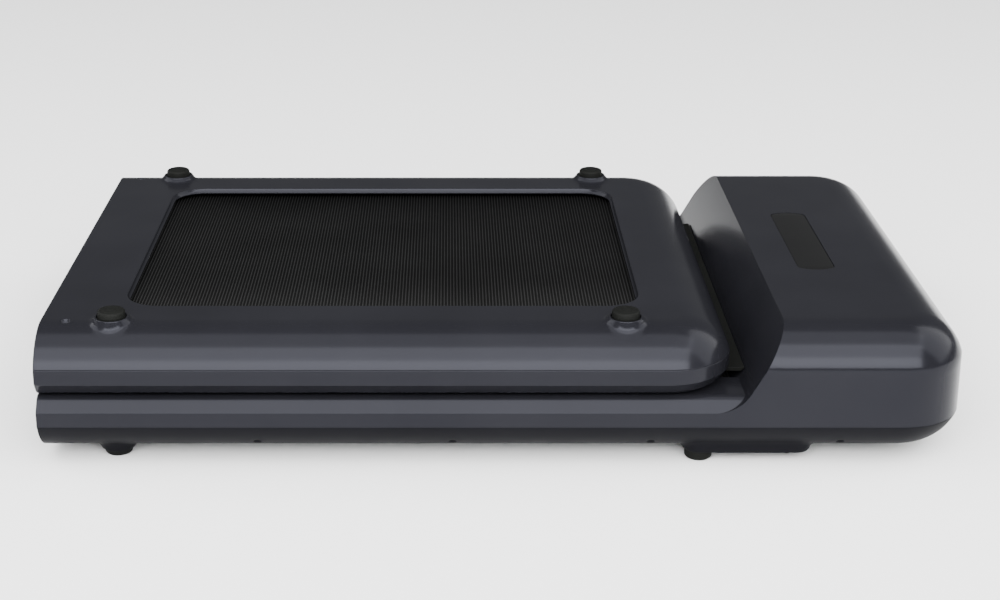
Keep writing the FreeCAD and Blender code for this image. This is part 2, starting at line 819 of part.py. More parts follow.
def head_cover():
    """Cover of the motor head, with the ends of both side rails moulded on."""
    outside = cut("head_outside", head_solid("head_block", plain(0)), [above_slope("slope_cut", plain(0))])
    inside = cut("head_inside", head_solid("head_room", WALL), [above_slope("slope_room", WALL)])
    shell = cut("head_shell", outside, [inside])
    slope_foot_span = (SLOPE_START_X - 5, size("slope_foot") + 20)
    rails = []
    openings = []
    for label, side in SIDES:
        rail = body("head_rail_" + label)
        section = sketch(rail, "head_rail_section_" + label, "YZ_Plane", SLOPE_START_X)
        outline(section, rail_section(FRONT, side))
        extrude(rail, "Pad", section, size("slope_blend") + 14)
        rails.append(rail)
        post, pilot = screw_post("head_post_" + label, HEAD_SCREW_X, side, HEAD_POST_TOP)
        rails.append(post)
        openings.append(pilot)
        openings.append(box("beam_passage_" + label, slope_foot_span,
                            across(side, size("ledge_inner") - 1, size("beam_outer") + 2),
                            (size("crease_height") - 1, size("beam_high") + 1)))
    blank = fuse("head_blank", [shell] + rails)
    openings.append(box("belt_slot", slope_foot_span, (-size("ledge_inner"), size("ledge_inner")),
                        (size("crease_height") - 1, size("walk_height") + 2)))
    openings.append(display_plate("display_hole", size("head_height") - WALL - 1,
                                  size("head_height") + 1, plain(0.2)))
    wall_span = (HEAD_END - 2 * WALL, HEAD_END + 1)
    openings.append(box("inlet_hole", wall_span, around(size("inlet_y"), INLET_HALF_Y),
                        around(size("inlet_z"), INLET_HALF_Z)))
    openings.append(box("switch_hole", wall_span, around(size("switch_y"), SWITCH_HALF_Y),
                        around(size("inlet_z"), SWITCH_HALF_Z)))
    return cut("head_cover", blank, openings)


def rear_cover():
    """Shell of the rear half with foot rings, screw posts and the large opening."""
    top = REAR.height(size("base_height"))
    tray = curved_shell("rear_tray", REAR, size("rear_end"))
    rim = sketch(tray, "window_rim", "XY_Plane", top - 7)
    reach = 6
    outline(rim, rounded_corners((size("window_start") - reach, size("window_end") + reach),
                                 (-size("window_half") - reach, size("window_half") + reach),
                                 size("window_corner") + reach))
    extrude(tray, "Pad", rim, plain(6))
    openings = []
    for name, level, inset in (("window_top", top, 0), ("window_bottom", top - 7, size("window_bevel"))):
        drawing = sketch(tray, name, "XY_Plane", level)
        outline(drawing, rounded_corners((size("window_start") + inset, size("window_end") - inset),
                                         (inset - size("window_half"), size("window_half") - inset),
                                         size("window_corner") - inset))
        openings.append(drawing)
    loft(tray, "SubtractiveLoft", openings[0], openings[1])
    added = [tray]
    removed = []
    for label, side in SIDES:
        y = side * size("foot_y")
        post_span = (REAR.height(size("beam_low")), top - WALL)
        added.append(cylinder("screw_post_" + label, "z", (COVER_SCREW_X, y), post_span, 8))
        removed.append(cylinder("screw_sink_" + label, "z", (COVER_SCREW_X, y),
                                (top - 8, top + 1), 4.5))
        removed.append(cylinder("screw_pilot_" + label, "z", (COVER_SCREW_X, y),
                                (post_span[0] - 1, top - 7), 2.5))
        for number, (x, foot_y, proud) in enumerate(REAR_FEET):
            boss, seat = foot_ring("rear_ring_" + str(number) + label, REAR, x, side * foot_y, proud)
            added.append(boss)
            removed.append(seat)
    return cut("rear_cover", fuse("rear_cover_blank", added), removed)


RAIL_END = size("rear_end") - size("corner_radius") - 7
LIP_TIP = size("rear_end") + 14


def lip_shape(name, margin):
    """Soft lip along the free end, its tip slanted like the head's slope."""
    strip = body(name)
    drawing = sketch(strip, name + "_section", "XZ_Plane")
    low = FOLD_Z + 5 - margin
    high = FOLD_Z + 9 + margin
    outline(drawing, [
        (size("rear_end") - 14, low),
        (LIP_TIP - 3, low),
        (LIP_TIP, high),
        (size("rear_end") - 14, high),
    ])
    extrude(strip, "Pad", drawing, 2 * (size("ledge_inner") + margin), midplane=True)
    return strip


def rear_end_cap():
    cap = body("rear_end_cap_ring")
    path = sketch(cap, "rear_end_path", "XY_Plane", REAR.height(size("crease_height")))
    round_path(path, RAIL_END, size("rear_end"), size("half_width"), size("corner_radius"))
    section = sketch(cap, "rear_end_section", "YZ_Plane", RAIL_END)
    outline(section, rail_section(REAR))
    pipe(cap, section, path)
    return cut("rear_end_cap", cap, [lip_shape("lip_slot", plain(0))])


# ---------------------------------------------------------------- frame

PLATE = 3
TENSION_Y = 229
TENSION_RADIUS = 1.5


def side_beam(half, label, side):
    """Steel tube with the holes of the axles and screws that cross it.

    The rear one ends in a welded plate that the tension bolt bears on.
    """
    name = label + "_" + half.name + "_beam"
    beam_end = BEAM_END[half.name]
    start_x = HALF_START + WALL + 0.5
    low, high = half.span(size("beam_low"), size("beam_high"))
    y_span = across(side, size("beam_inner"), size("beam_outer"))
    tube = box(name + "_tube", (start_x, beam_end), y_span, (low, high))
    wall = size("beam_wall")
    hollow = box(name + "_hollow", (start_x - 1, beam_end + 1),
                 across(side, size("beam_inner") + wall, size("beam_outer") - wall),
                 (low + wall, high - wall))
    through = across(side, size("beam_inner") - 1, size("beam_outer") + 1)
    removed = [hollow]
    welded = [tube]
    removed.append(cylinder(name + "_axle_hole", "y", (ROLLER_X[half.name], half.height(ROLLER_Z)),
                            through, size("axle_radius")))
    removed.append(cylinder(name + "_guide_hole", "y", (GUIDE_X, half.height(GUIDE_Z)),
                            through, size("guide_axle_radius")))
    if half.flip:
        removed.append(box(name + "_corner", (RAIL_END, beam_end + 1),
                           across(side, size("beam_inner") - 1, size("beam_outer") + 1),
                           (high - 6, high + 1)))
        welded.append(box(name + "_plate", (beam_end, beam_end + PLATE), y_span,
                          around(half.height(ROLLER_Z), 9.5)))
        removed.append(cylinder(name + "_tension_hole", "x", (side * plain(TENSION_Y), half.height(ROLLER_Z)),
                                (beam_end - 1, beam_end + PLATE + 1), TENSION_RADIUS))
    blank = fuse(name + "_blank", welded) if half.flip else tube
    return cut(name, blank, removed)


def cross_members(half):
    members = []
    low, high = half.span(size("cross_low"), size("cross_high"))
    wall = size("beam_wall")
    for number, x in enumerate(CROSS_XS[half.name], start=1):
        name = half.name + "_cross_member_" + str(number)
        end_x = x + size("cross_width")
        tube = box(name + "_tube", (x, end_x), (-size("beam_inner"), size("beam_inner")), (low, high))
        hollow = box(name + "_hollow", (x + wall, end_x - wall),
                     (-size("beam_inner") - 1, size("beam_inner") + 1), (low + wall, high - wall))
        members.append(cut(name, tube, [hollow]))
    return group(half.name + "_cross_members", members)


def deck(half):
    low, high = half.span(DECK_TOP - size("deck_thick"), DECK_TOP)
    end_x = ROLLER_X[half.name] - ROLLER_RADIUS - 6
    wide = size("deck_half_width")
    return box(half.name + "_deck", (HALF_START + 1, end_x), (-wide, wide), (low, high))


def deck_cushions(half):
    low, high = half.span(size("cross_high"), DECK_TOP - size("deck_thick"))
    pads = []
    for number, x in enumerate(CROSS_XS[half.name], start=1):
        for label, side in SIDES:
            name = half.name + "_cushion_" + str(number) + label
            pads.append(cylinder(name, "z", (x + size("cross_width") / 2, side * plain(150)),
                                 (low, high), 12))
    return group(half.name + "_deck_cushions", pads)


# ---------------------------------------------------------------- fold hinges

PIN = 2.5


def hinge_leaf(half, label, side, ears):
    """Flange on the beam with ears that reach up to the pin."""
    name = label + "_" + half.name + "_hinge"
    low, high = half.span(size("beam_high"), size("beam_high") + 3)
    flange = box(name + "_flange", (HALF_START + 9, HALF_START + 59), across(side, 213, 237), (low, high))
    pieces = [flange]
    bores = []
    for number, (inner, outer) in enumerate(ears):
        ear_name = name + "_ear" + str(number)
        y_low, y_high = across(side, inner, outer)
        knuckle = cylinder(ear_name + "_knuckle", "y", (HINGE_X, FOLD_Z), (y_low, y_high),
                           size("knuckle_radius"))
        arm = body(ear_name + "_arm")
        drawing = sketch(arm, ear_name + "_shape", "XZ_Plane", -y_low)
        outline(drawing, [
            (HINGE_X, half.height(FOLD_Z + size("knuckle_radius"))),
            (HINGE_X, half.height(FOLD_Z - size("knuckle_radius"))),
            (HALF_START + 9, half.height(size("beam_high"))),
            (HALF_START + 24, half.height(size("beam_high"))),
            (HALF_START + 24, half.height(size("beam_high") + 5)),
        ])
        extrude(arm, "Pad", drawing, y_high - y_low, backwards=True)
        pieces.extend([knuckle, arm])
        bore = PIN + RUN_GAP if half.flip else plain(PIN)
        bores.append(cylinder(ear_name + "_bore", "y", (HINGE_X, FOLD_Z), across(side, inner - 1, outer + 1),
                              bore))
    return cut(name, fuse(name + "_blank", pieces), bores)


# ---------------------------------------------------------------- belt and rollers

def strip(name, drawing_corners, half_width):
    """Belt or similar: a side profile drawn in X and Z, as wide as the belt."""
    band = body(name)
    drawing = sketch(band, name + "_profile", "XZ_Plane")
    outline(drawing, drawing_corners)
    extrude(band, "Pad", drawing, 2 * half_width, midplane=True)
    return band


INNER_FOLD_RADIUS = FOLD_Z - DECK_TOP
INNER_FOLD_X = HALF_START + INNER_FOLD_RADIUS


def belt_run(half):
    """Walking run, wrap round the end roller, and return run of one half."""
    end_x = ROLLER_X[half.name]
    walk = half.height(size("walk_height"))
    back = half.height(size("return_height"))
    walk_inner = half.height(DECK_TOP)
    back_inner = half.height(RETURN_TOP)
    outer = ROLLER_RADIUS + GAP + BELT
    return strip(half.name + "_belt", [
        (INNER_FOLD_X, walk),
        (end_x, walk, outer, half.turn(-1)),
        (end_x, back),
        (GUIDE_X, back),
        (GUIDE_X, back_inner),
        (end_x, back_inner, ROLLER_RADIUS + GAP, half.turn(1)),
        (end_x, walk_inner),
        (INNER_FOLD_X, walk_inner),
    ], size("belt_half_width"))


def belt_outer_fold():
    """Return run where it passes over both guide rollers and up the hinge end."""
    inner = size("guide_radius") + GAP
    outer = inner + BELT
    low, high = GUIDE_Z, REAR.height(GUIDE_Z)
    return strip("belt_outer_fold", [
        (GUIDE_X, low - outer, outer, -1),
        (GUIDE_X - outer, low),
        (GUIDE_X - outer, high, outer, -1),
        (GUIDE_X, high + outer),
        (GUIDE_X, high + inner, inner, 1),
        (GUIDE_X - inner, high),
        (GUIDE_X - inner, low, inner, 1),
        (GUIDE_X, low - inner),
    ], size("belt_half_width"))


def belt_inner_fold():
    """Walking run where it turns back on itself beside the fold."""
    return strip("belt_inner_fold", [
        (INNER_FOLD_X, DECK_TOP, INNER_FOLD_RADIUS, -1),
        (INNER_FOLD_X, REAR.height(DECK_TOP)),
        (INNER_FOLD_X, REAR.height(size("walk_height")), INNER_FOLD_RADIUS - BELT, 1),
        (INNER_FOLD_X, size("walk_height")),
    ], size("belt_half_width"))


def end_roller(half):
    centre = (ROLLER_X[half.name], half.height(ROLLER_Z))
    span = (-size("roller_half"), size("roller_half"))
    return ring(half.name + "_roller", "y", centre, span, ROLLER_RADIUS,
                size("bearing_radius") + RUN_GAP)


def roller_bearings(half):
    centre = (ROLLER_X[half.name], half.height(ROLLER_Z))
    rings = []
    for label, side in SIDES:
        rings.append(ring(half.name + "_bearing_" + label, "y", centre, across(side, 186, 198),
                          size("bearing_radius"), size("axle_radius")))
    return group(half.name + "_roller_bearings", rings)


def axle(name, centre, radius, half_span):
    return cylinder(name, "y", centre, (-plain(half_span), plain(half_span)), radius)


def ribbed_pulley(name, centre, radius, bore):
    """Pulley for a ribbed belt: V grooves round its rim."""
    ribs = 5
    low = size("pulley_inner")
    if name == "roller_pulley":
        low = size("roller_half")
    high = size("pulley_inner") + size("pulley_width")
    rim = 1.5
    pitch = (high.value - size("pulley_inner").value - 2 * rim) / ribs
    wheel = body(name)
    drawing = sketch(wheel, name + "_section", "YZ_Plane", centre[0])
    top = centre[1] + radius
    corners = [(low, centre[1] + bore), (high, centre[1] + bore), (high, top)]
    for number in range(ribs):
        start = high - rim - pitch * number
        corners.append((start, top))
        corners.append((start - pitch / 2, top - pitch * 0.6))
    corners.append((high - rim - pitch * ribs, top))
    corners.append((low, top))
    outline(drawing, corners)
    axis_line = drawing.addGeometry(Part.LineSegment(Vector(low.value, centre[1].value, 0),
                                                     Vector(high.value, centre[1].value, 0)), True)
    pin_point(drawing, axis_line, START, (low, centre[1]))
    pin_point(drawing, axis_line, END, (high, centre[1]))
    turned = wheel.newObject("PartDesign::Revolution", name + "_turned")
    turned.Profile = drawing
    turned.ReferenceAxis = (drawing, ["Axis0"])
    turned.Angle = 360
    DOC.recompute()
    return wheel


def drive_belt(centre_low, radius_low, centre_high, radius_high):
    """Ribbed belt round both pulleys: two hulls of two circles, one inside the other."""
    span = (size("pulley_inner"), size("pulley_inner") + size("pulley_width") - 0.5)
    hulls = []
    for layer, extra in (("outside", GAP + size("drive_belt_thick")), ("inside", GAP)):
        name = "drive_belt_" + layer
        first = cylinder(name + "_low", "y", centre_low, span, radius_low + extra)
        second = cylinder(name + "_high", "y", centre_high, span, radius_high + extra)
        web = body(name + "_web")
        drawing = sketch(web, name + "_web_shape", "XZ_Plane", -span[0])
        apart = Vector(centre_high[0].value - centre_low[0].value,
                       centre_high[1].value - centre_low[1].value, 0)
        lean = math.acos((radius_low.value - radius_high.value) / apart.Length)
        heading = math.atan2(apart.y, apart.x)
        corners = []
        for centre, radius, side in ((centre_low, radius_low, 1), (centre_low, radius_low, -1),
                                     (centre_high, radius_high, -1), (centre_high, radius_high, 1)):
            angle = heading + side * lean
            reach = radius + extra
            corners.append((centre[0] + reach * math.cos(angle), centre[1] + reach * math.sin(angle)))
        outline(drawing, corners)
        extrude(web, "Pad", drawing, span[1] - span[0], backwards=True)
        hulls.append(fuse(name, [first, second, web]))
    return cut("drive_belt", hulls[0], [hulls[1]])


# ---------------------------------------------------------------- motor and electrics

MOTOR = (size("motor_x"), size("motor_z"))
SHAFT_RADIUS = 5
BELL = 6
MOTOR_SPAN = (plain(40), plain(190))
MOTOR_BEARING = 11


def motor_can():
    start, end = MOTOR_SPAN
    can = cylinder("motor_can_outside", "y", MOTOR, (start, end), size("motor_radius"))
    room = cylinder("motor_can_room", "y", MOTOR, (start + BELL, end - BELL), size("motor_radius") - 8)
    bore = cylinder("motor_can_bore", "y", MOTOR, (start - 1, end + 1), MOTOR_BEARING)
    return cut("motor_can", can, [room, bore])


def motor_bearings():
    start, end = MOTOR_SPAN
    rings = []
    for name, span in (("inner", (start, start + BELL)), ("outer", (end - BELL, end))):
        rings.append(ring("motor_bearing_" + name, "y", MOTOR, span, MOTOR_BEARING,
                          SHAFT_RADIUS + RUN_GAP))
    return group("motor_bearings", rings)


def motor_rotor():
    start, end = MOTOR_SPAN
    shaft_end = size("pulley_inner") + size("pulley_width")
    shaft = cylinder("motor_shaft", "y", MOTOR, (start - 4, shaft_end), SHAFT_RADIUS)
    core = cylinder("motor_core", "y", MOTOR, (start + 30, end - 30), 27)
    return fuse("motor_rotor", [shaft, core])


def motor_cradle():
    block = box("motor_cradle_block", around(size("motor_x"), 24), (70, 160),
                (size("base_height") + WALL, 43))
    return cut("motor_cradle", block, [
        cylinder("motor_cradle_seat", "y", MOTOR, (60, 170), size("motor_radius"))])


def motor_controller():
    floor = size("base_height") + WALL
    pieces = [box("controller_base", (292, 368), (-160, -20), (floor, floor + 24))]
    for number in range(9):
        y = -156 + 16.5 * number
        pieces.append(box("controller_fin_" + str(number), (292, 368), (y, y + 3), (floor + 24, floor + 38)))
    return fuse("motor_controller", pieces)


PANEL_FACE = HEAD_END - 0.2


def power_inlet():
    """Appliance inlet with its socket and three flat contacts."""
    shell = box("inlet_case", (395, PANEL_FACE), around(size("inlet_y"), INLET_HALF_Y),
                around(size("inlet_z"), INLET_HALF_Z))
    socket = box("inlet_socket", (398, HEAD_END), around(size("inlet_y"), 11.5), around(size("inlet_z"), 8))
    contacts = []
    for number, (y, z) in enumerate(((-7, -2), (0, 2), (7, -2))):
        contacts.append(box("inlet_contact_" + str(number), (397, 408), around(size("inlet_y") + y, 1),
                            around(size("inlet_z") + z, 2)))
    return fuse("power_inlet", [cut("inlet_shell", shell, [socket])] + contacts)


SWITCH_PIVOT_X = 409.0
SWITCH_PIVOT = 1.5
ROCKER_TILT = 6.0


def switch_frame():
    frame = box("switch_block", (402, PANEL_FACE), around(size("switch_y"), SWITCH_HALF_Y),
                around(size("inlet_z"), SWITCH_HALF_Z))
    well = box("switch_well", (404, HEAD_END), around(size("switch_y"), 7.5), around(size("inlet_z"), 6.2))
    pivots = cylinder("switch_pivot_holes", "y", (SWITCH_PIVOT_X, size("inlet_z")),
                      around(size("switch_y"), 9.1), SWITCH_PIVOT + RUN_GAP)
    return cut("switch_frame", frame, [well, pivots])


def power_switch():
    """Rocker on two stub pivots, with two slanting faces, at rest tipped to its off side."""
    rocker = body("switch_rocker")
    drawing = sketch(rocker, "rocker_profile", "XZ_Plane")
    middle = size("inlet_z")
    outline(drawing, [
        (SWITCH_PIVOT_X - 3, middle - 4.4),
        (SWITCH_PIVOT_X + 5.6, middle - 4.8),
        (SWITCH_PIVOT_X + 4.6, middle),
        (SWITCH_PIVOT_X + 5.6, middle + 4.8),
        (SWITCH_PIVOT_X - 3, middle + 4.4),
    ])
    extrude(rocker, "Pad", drawing, plain(14), midplane=True)
    pivot = Vector(SWITCH_PIVOT_X, 0, middle.value)
    tipped = FreeCAD.Placement(Vector(0, 0, 0), Rotation(Vector(0, 1, 0), ROCKER_TILT), pivot)
    tipped.Base = tipped.Base + Vector(0, size("switch_y").value, 0)
    rocker.Placement = tipped
    stubs = cylinder("switch_stubs", "y", (SWITCH_PIVOT_X, middle), around(size("switch_y"), 9),
                     SWITCH_PIVOT)
    return fuse("power_switch", [rocker, stubs])


# ---------------------------------------------------------------- small hardware

def cover_screws():
    top = REAR.height(size("base_height"))
    screws = []
    for label, side in SIDES:
        place_xy = (COVER_SCREW_X, side * size("foot_y"))
        head = cylinder("cover_screw_head_" + label, "z", place_xy, (top - 7, top - 4), 4.2)
        shank = cylinder("cover_screw_shank_" + label, "z", place_xy,
                         (REAR.height(size("beam_low")), top - 7), 2.5)
        screws.append(fuse("cover_screw_" + label, [head, shank]))
    return group("cover_screws", screws)


def tension_bolts():
    """Bolts that pull the idle roller's axle towards the free end."""
    bolts = []
    axis_z = REAR.height(ROLLER_Z)
    plate_face = size("rear_beam_end") + PLATE
    for label, side in SIDES:
        y = side * plain(TENSION_Y)
        shank = cylinder("tension_shank_" + label, "x", (y, axis_z),
                         (size("rear_roller_x") + size("axle_radius"), plate_face), TENSION_RADIUS)
        head = cylinder("tension_head_" + label, "x", (y, axis_z), (plate_face, plate_face + 4), 5)
        bolts.append(fuse("tension_bolt_" + label, [shank, head]))
    return group("tension_bolts", bolts)


def fold_bumpers():
    """Rubber buttons on the front ledges that the rear half comes to rest on."""
    buttons = []
    for number, x in enumerate((-300.0, 120.0)):
        for label, side in SIDES:
            name = "bumper_" + str(number) + label
            buttons.append(cylinder(name, "z", (x, side * plain(225)),
                                    (LEDGE_TOP, REAR.height(LEDGE_TOP) - 0.1), 5))
    return group("fold_bumpers", buttons)


def transport_wheel(label, side):
    centre = (size("wheel_x"), size("wheel_z"))
    span = across(side, size("wheel_y") - size("wheel_half"), size("wheel_y") + size("wheel_half"))
    return ring(label + "_transport_wheel", "y", centre, span, size("wheel_radius"),
                size("wheel_axle_radius") + RUN_GAP)


def wheel_axle(label, side):
    return cylinder(label + "_wheel_axle", "y", (size("wheel_x"), size("wheel_z")),
                    across(side, *WHEEL_AXLE_SPAN), size("wheel_axle_radius"))


# ---------------------------------------------------------------- the whole treadmill

def build_half(half):
    """Pieces that both halves have."""
    nodes = []
    leaves = []
    rail_end = RAIL_END if half.flip else SLOPE_START_X
    ears = ((219.5, 225.5),) if half.flip else ((213.0, 219.0), (226.0, 232.0))
    for label, side in SIDES:
        nodes.append(side_rail(label + "_" + half.name + "_rail", half, side, rail_end))
        nodes.append(side_beam(half, label, side))
        leaves.append(hinge_leaf(half, label, side, ears))
    nodes.append(group(half.name + "_hinge_leaves", leaves))
    nodes.append(cross_members(half))
    nodes.append(deck(half))
    nodes.append(deck_cushions(half))
    nodes.append(belt_run(half))
    nodes.append(end_roller(half))
    nodes.append(roller_bearings(half))
    nodes.append(axle(half.name + "_axle", (ROLLER_X[half.name], half.height(ROLLER_Z)),
                      size("axle_radius"), size("beam_outer") + 2))
    guide = (GUIDE_X, half.height(GUIDE_Z))
    nodes.append(axle(half.name + "_guide_axle", guide, size("guide_axle_radius"), size("beam_outer") + 1))
    nodes.append(ring(half.name + "_guide_roller", "y", guide,
                      (-size("roller_half"), size("roller_half")), size("guide_radius"),
                      size("guide_axle_radius") + RUN_GAP))
    return nodes


def build():
    nodes = [base_shell(), head_cover(), rear_cover(), rear_end_cap()]
    nodes.append(lip_shape("rear_lip", plain(0)))
    nodes.extend(build_half(FRONT))
    nodes.extend(build_half(REAR))
    nodes.append(feet("front_feet", FRONT, FRONT_FEET))
    nodes.append(feet("rear_feet", REAR, REAR_FEET))
    nodes.append(belt_outer_fold())
    nodes.append(belt_inner_fold())
    pins = []
    axles = []
    for label, side in SIDES:
        pins.append(cylinder(label + "_hinge_pin", "y", (HINGE_X, FOLD_Z), across(side, 212, 233), PIN))
        nodes.append(transport_wheel(label, side))
        axles.append(wheel_axle(label, side))
    nodes.append(group("hinge_pins", pins))
    nodes.append(group("wheel_axles", axles))
    drive_centre = (ROLLER_X["front"], ROLLER_Z)
    nodes.append(ribbed_pulley("roller_pulley", drive_centre, size("roller_pulley_radius"), 7))
    nodes.append(ribbed_pulley("motor_pulley", MOTOR, size("motor_pulley_radius"), SHAFT_RADIUS))
    nodes.append(drive_belt(drive_centre, size("roller_pulley_radius"), MOTOR, size("motor_pulley_radius")))
    nodes.extend([motor_can(), motor_bearings(), motor_rotor(), motor_cradle(), motor_controller()])
    roof = size("head_height")
    nodes.append(display_plate("display_window", roof - WALL, roof - 0.3, plain(0)))
    nodes.append(box("display_board", around(size("display_x"), 24), (-95, 95),
                     (roof - WALL - 1.6, roof - WALL)))
    nodes.extend([power_inlet(), switch_frame(), power_switch()])
    nodes.extend([base_screws(), cover_screws(), fold_bumpers()])
    nodes.append(tension_bolts())
    return nodes


def check_document(nodes):
    """Stops before anything is written if an object failed or a shape is unsound."""
    for item in DOC.Objects:
        if "Invalid" in item.State or "Error" in item.State:
            raise RuntimeError(item.Name + " failed: " + ", ".join(item.State))
    for node in nodes:
        if node.Shape.isNull() or not node.Shape.isValid() or not node.Shape.Solids:
            raise RuntimeError(node.Label + " has no sound shape")


NODES = build()
DOC.recompute()
check_document(NODES)
os.makedirs("parts", exist_ok=True)
for NODE in NODES:
    NODE.Shape.exportStep("parts/" + NODE.Label + ".step")
print(len(NODES), "nodes written")
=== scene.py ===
import bpy
import bmesh
import json
import math
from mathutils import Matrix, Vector
from mathutils.geometry import delaunay_2d_cdt


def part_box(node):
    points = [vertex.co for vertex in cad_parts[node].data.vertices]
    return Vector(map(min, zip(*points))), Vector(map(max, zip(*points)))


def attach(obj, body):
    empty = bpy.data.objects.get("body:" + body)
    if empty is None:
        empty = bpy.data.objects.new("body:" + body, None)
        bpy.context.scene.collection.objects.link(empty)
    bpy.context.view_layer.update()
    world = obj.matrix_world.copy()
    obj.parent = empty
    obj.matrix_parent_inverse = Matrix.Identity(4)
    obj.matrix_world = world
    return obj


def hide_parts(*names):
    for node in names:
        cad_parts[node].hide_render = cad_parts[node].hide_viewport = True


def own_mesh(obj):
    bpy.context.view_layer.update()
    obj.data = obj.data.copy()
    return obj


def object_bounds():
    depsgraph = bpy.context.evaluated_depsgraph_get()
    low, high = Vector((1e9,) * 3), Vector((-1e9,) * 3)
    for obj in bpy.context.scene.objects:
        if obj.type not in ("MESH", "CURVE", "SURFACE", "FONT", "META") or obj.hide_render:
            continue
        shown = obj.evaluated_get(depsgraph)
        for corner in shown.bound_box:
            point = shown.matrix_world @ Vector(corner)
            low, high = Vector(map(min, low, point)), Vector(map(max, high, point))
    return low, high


# A folding walking-pad treadmill, folded shut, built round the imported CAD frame. Blender works
# in metres; lengths named below are in millimetres and are scaled where a mesh is made.

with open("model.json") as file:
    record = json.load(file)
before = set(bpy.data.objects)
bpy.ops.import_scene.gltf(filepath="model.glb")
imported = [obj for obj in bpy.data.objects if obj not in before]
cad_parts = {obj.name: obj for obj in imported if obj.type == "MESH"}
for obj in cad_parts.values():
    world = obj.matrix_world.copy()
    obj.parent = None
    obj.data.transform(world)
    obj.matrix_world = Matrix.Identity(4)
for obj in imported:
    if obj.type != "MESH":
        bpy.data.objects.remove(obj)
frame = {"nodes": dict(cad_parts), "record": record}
nodes = frame["nodes"]
CAD_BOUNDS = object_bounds()
MM = 0.001
FRONT_BODY, REAR_BODY = "front", "rear"


def span(node, axis):
    """Lowest and highest place of a CAD node along an axis, in millimetres."""
    low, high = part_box(node)
    return low[axis] / MM, high[axis] / MM


# ------------------------------------------------------------------ shared form, from the frame

START_X, HEAD_END = span("base_shell", 0)
HALF_WIDTH = span("base_shell", 1)[1]
CREASE = span("base_shell", 2)[1]
HEAD_TOP = span("head_cover", 2)[1]
REAR_TOP = span("rear_cover", 2)[1] - 4.5
REAR_END = span("rear_cover", 0)[1]
FOLD_Z = CAD_BOUNDS[1][2] / MM / 2
BASE_FLAT = 2 * FOLD_Z - REAR_TOP
EDGE_RUN = 45.0
CORNER = 60.0
BAND = 13.5
BAND_TOP = CREASE + BAND
LEDGE_TOP = FOLD_Z - 1
LEDGE_IN, LEDGE_OUT = 207.0, 250.0
LEDGE_ROUND = 10.0
HEAD_CREASE = 96.0
FLAT_Y = HALF_WIDTH - EDGE_RUN
WALL = 2.5
SLOPE_FOOT = 209.3
SLOPE_RUN = 41.7
SLOPE_BLEND = 20.3
SIDES = (("left", 1), ("right", -1))

FOOT_Y = 218.0
HEAD_FOOT_Y = 228.0
HINGE_FOOT_X = -346.0
REAR_FOOT_X = 111.0
HEAD_FOOT_X = 179.0
POD_END_X = 265.0
POD_REACH = 14.0
POD_PROUD = 1.8
WHEEL_X = 258.0
WHEEL_Y = 229.5
SCREW_XS = (-217.0, -43.0, 134.0, 303.0)
SCREW_Y = 245.0
SCREW_HEAD_Z = 28.6
COVER_SCREW_X = -387.0
PROUD = 4.5
FOOT_HEIGHT = 11.0


# ------------------------------------------------------------------ mesh helpers

def crosses(place, start, end):
    """Whether a ray from the place along the first axis meets the edge."""
    if (start.y > place.y) == (end.y > place.y):
        return False
    share = (place.y - start.y) / (end.y - start.y)
    return place.x < start.x + share * (end.x - start.x)


class Surface:
    """Gathers faces in millimetres and joins points that coincide."""

    def __init__(self):
        self.points = []
        self.faces = []
        self.known = {}

    def point(self, place):
        key = tuple(round(value, 3) for value in place)
        if key not in self.known:
            self.known[key] = len(self.points)
            self.points.append(place)
        return self.known[key]

    def face(self, corners):
        ring = []
        for corner in corners:
            index = self.point(corner)
            if index not in ring:
                ring.append(index)
        if len(ring) > 2:
            self.faces.append(ring)

    def grid(self, rows, closed=False):
        """Quads between rows of points; closed also joins each row's end to its start."""
        for above, below in zip(rows, rows[1:]):
            count = len(above)
            last = count if closed else count - 1
            for number in range(last):
                after = (number + 1) % count
                self.face((above[number], above[after], below[after], below[number]))

    def fill(self, loops):
        """Flat region inside the first loop and outside the others."""
        corners = [corner for loop in loops for corner in loop]
        spreads = [max(corner[axis] for corner in corners) - min(corner[axis] for corner in corners)
                   for axis in range(3)]
        thin = spreads.index(min(spreads))
        kept = [axis for axis in range(3) if axis != thin]
        flat = [Vector((corner[kept[0]], corner[kept[1]])) for corner in corners]
        edges = []
        first = 0
        for loop in loops:
            edges += [(first + number, first + (number + 1) % len(loop)) for number in range(len(loop))]
            first += len(loop)
        places, _, triples, sources = delaunay_2d_cdt(flat, edges, [], 0, 1e-4)[:4]
        for triple in triples:
            middle = sum((places[index] for index in triple), Vector((0, 0))) / 3
            crossed = sum(crosses(middle, flat[start], flat[end]) for start, end in edges)
            if crossed % 2:
                self.face([corners[sources[index][0]] for index in triple])

    def piece(self, name, outward=None):
        """Makes the object; outward is a test (centre, normal) that is True on a correct face."""
        mesh = bpy.data.meshes.new(name)
        scaled = [[value * MM for value in place] for place in self.points]
        mesh.from_pydata(scaled, [], self.faces)
        work = bmesh.new()
        work.from_mesh(mesh)
        bmesh.ops.recalc_face_normals(work, faces=work.faces)
        if outward and not outward(work):
            bmesh.ops.reverse_faces(work, faces=work.faces)
        work.to_mesh(mesh)
        work.free()
        for polygon in mesh.polygons:
            polygon.use_smooth = True
        return link(name, mesh)


def link(name, mesh):
    piece = bpy.data.objects.new(name, mesh)
    bpy.context.scene.collection.objects.link(piece)
    return piece


def faces_up(sign):
    """Test for the widest level face: it must look up (sign 1) or down (sign -1)."""
    def test(work):
        level = [face for face in work.faces if abs(face.normal.z) > 0.99]
        widest = max(level, key=lambda face: face.calc_area())
        return widest.normal.z * sign > 0
    return test


def thicken(piece, depth):
    shell = piece.modifiers.new("thickness", "SOLIDIFY")
    shell.thickness = depth * MM
    shell.offset = -1
    shell.use_even_offset = True


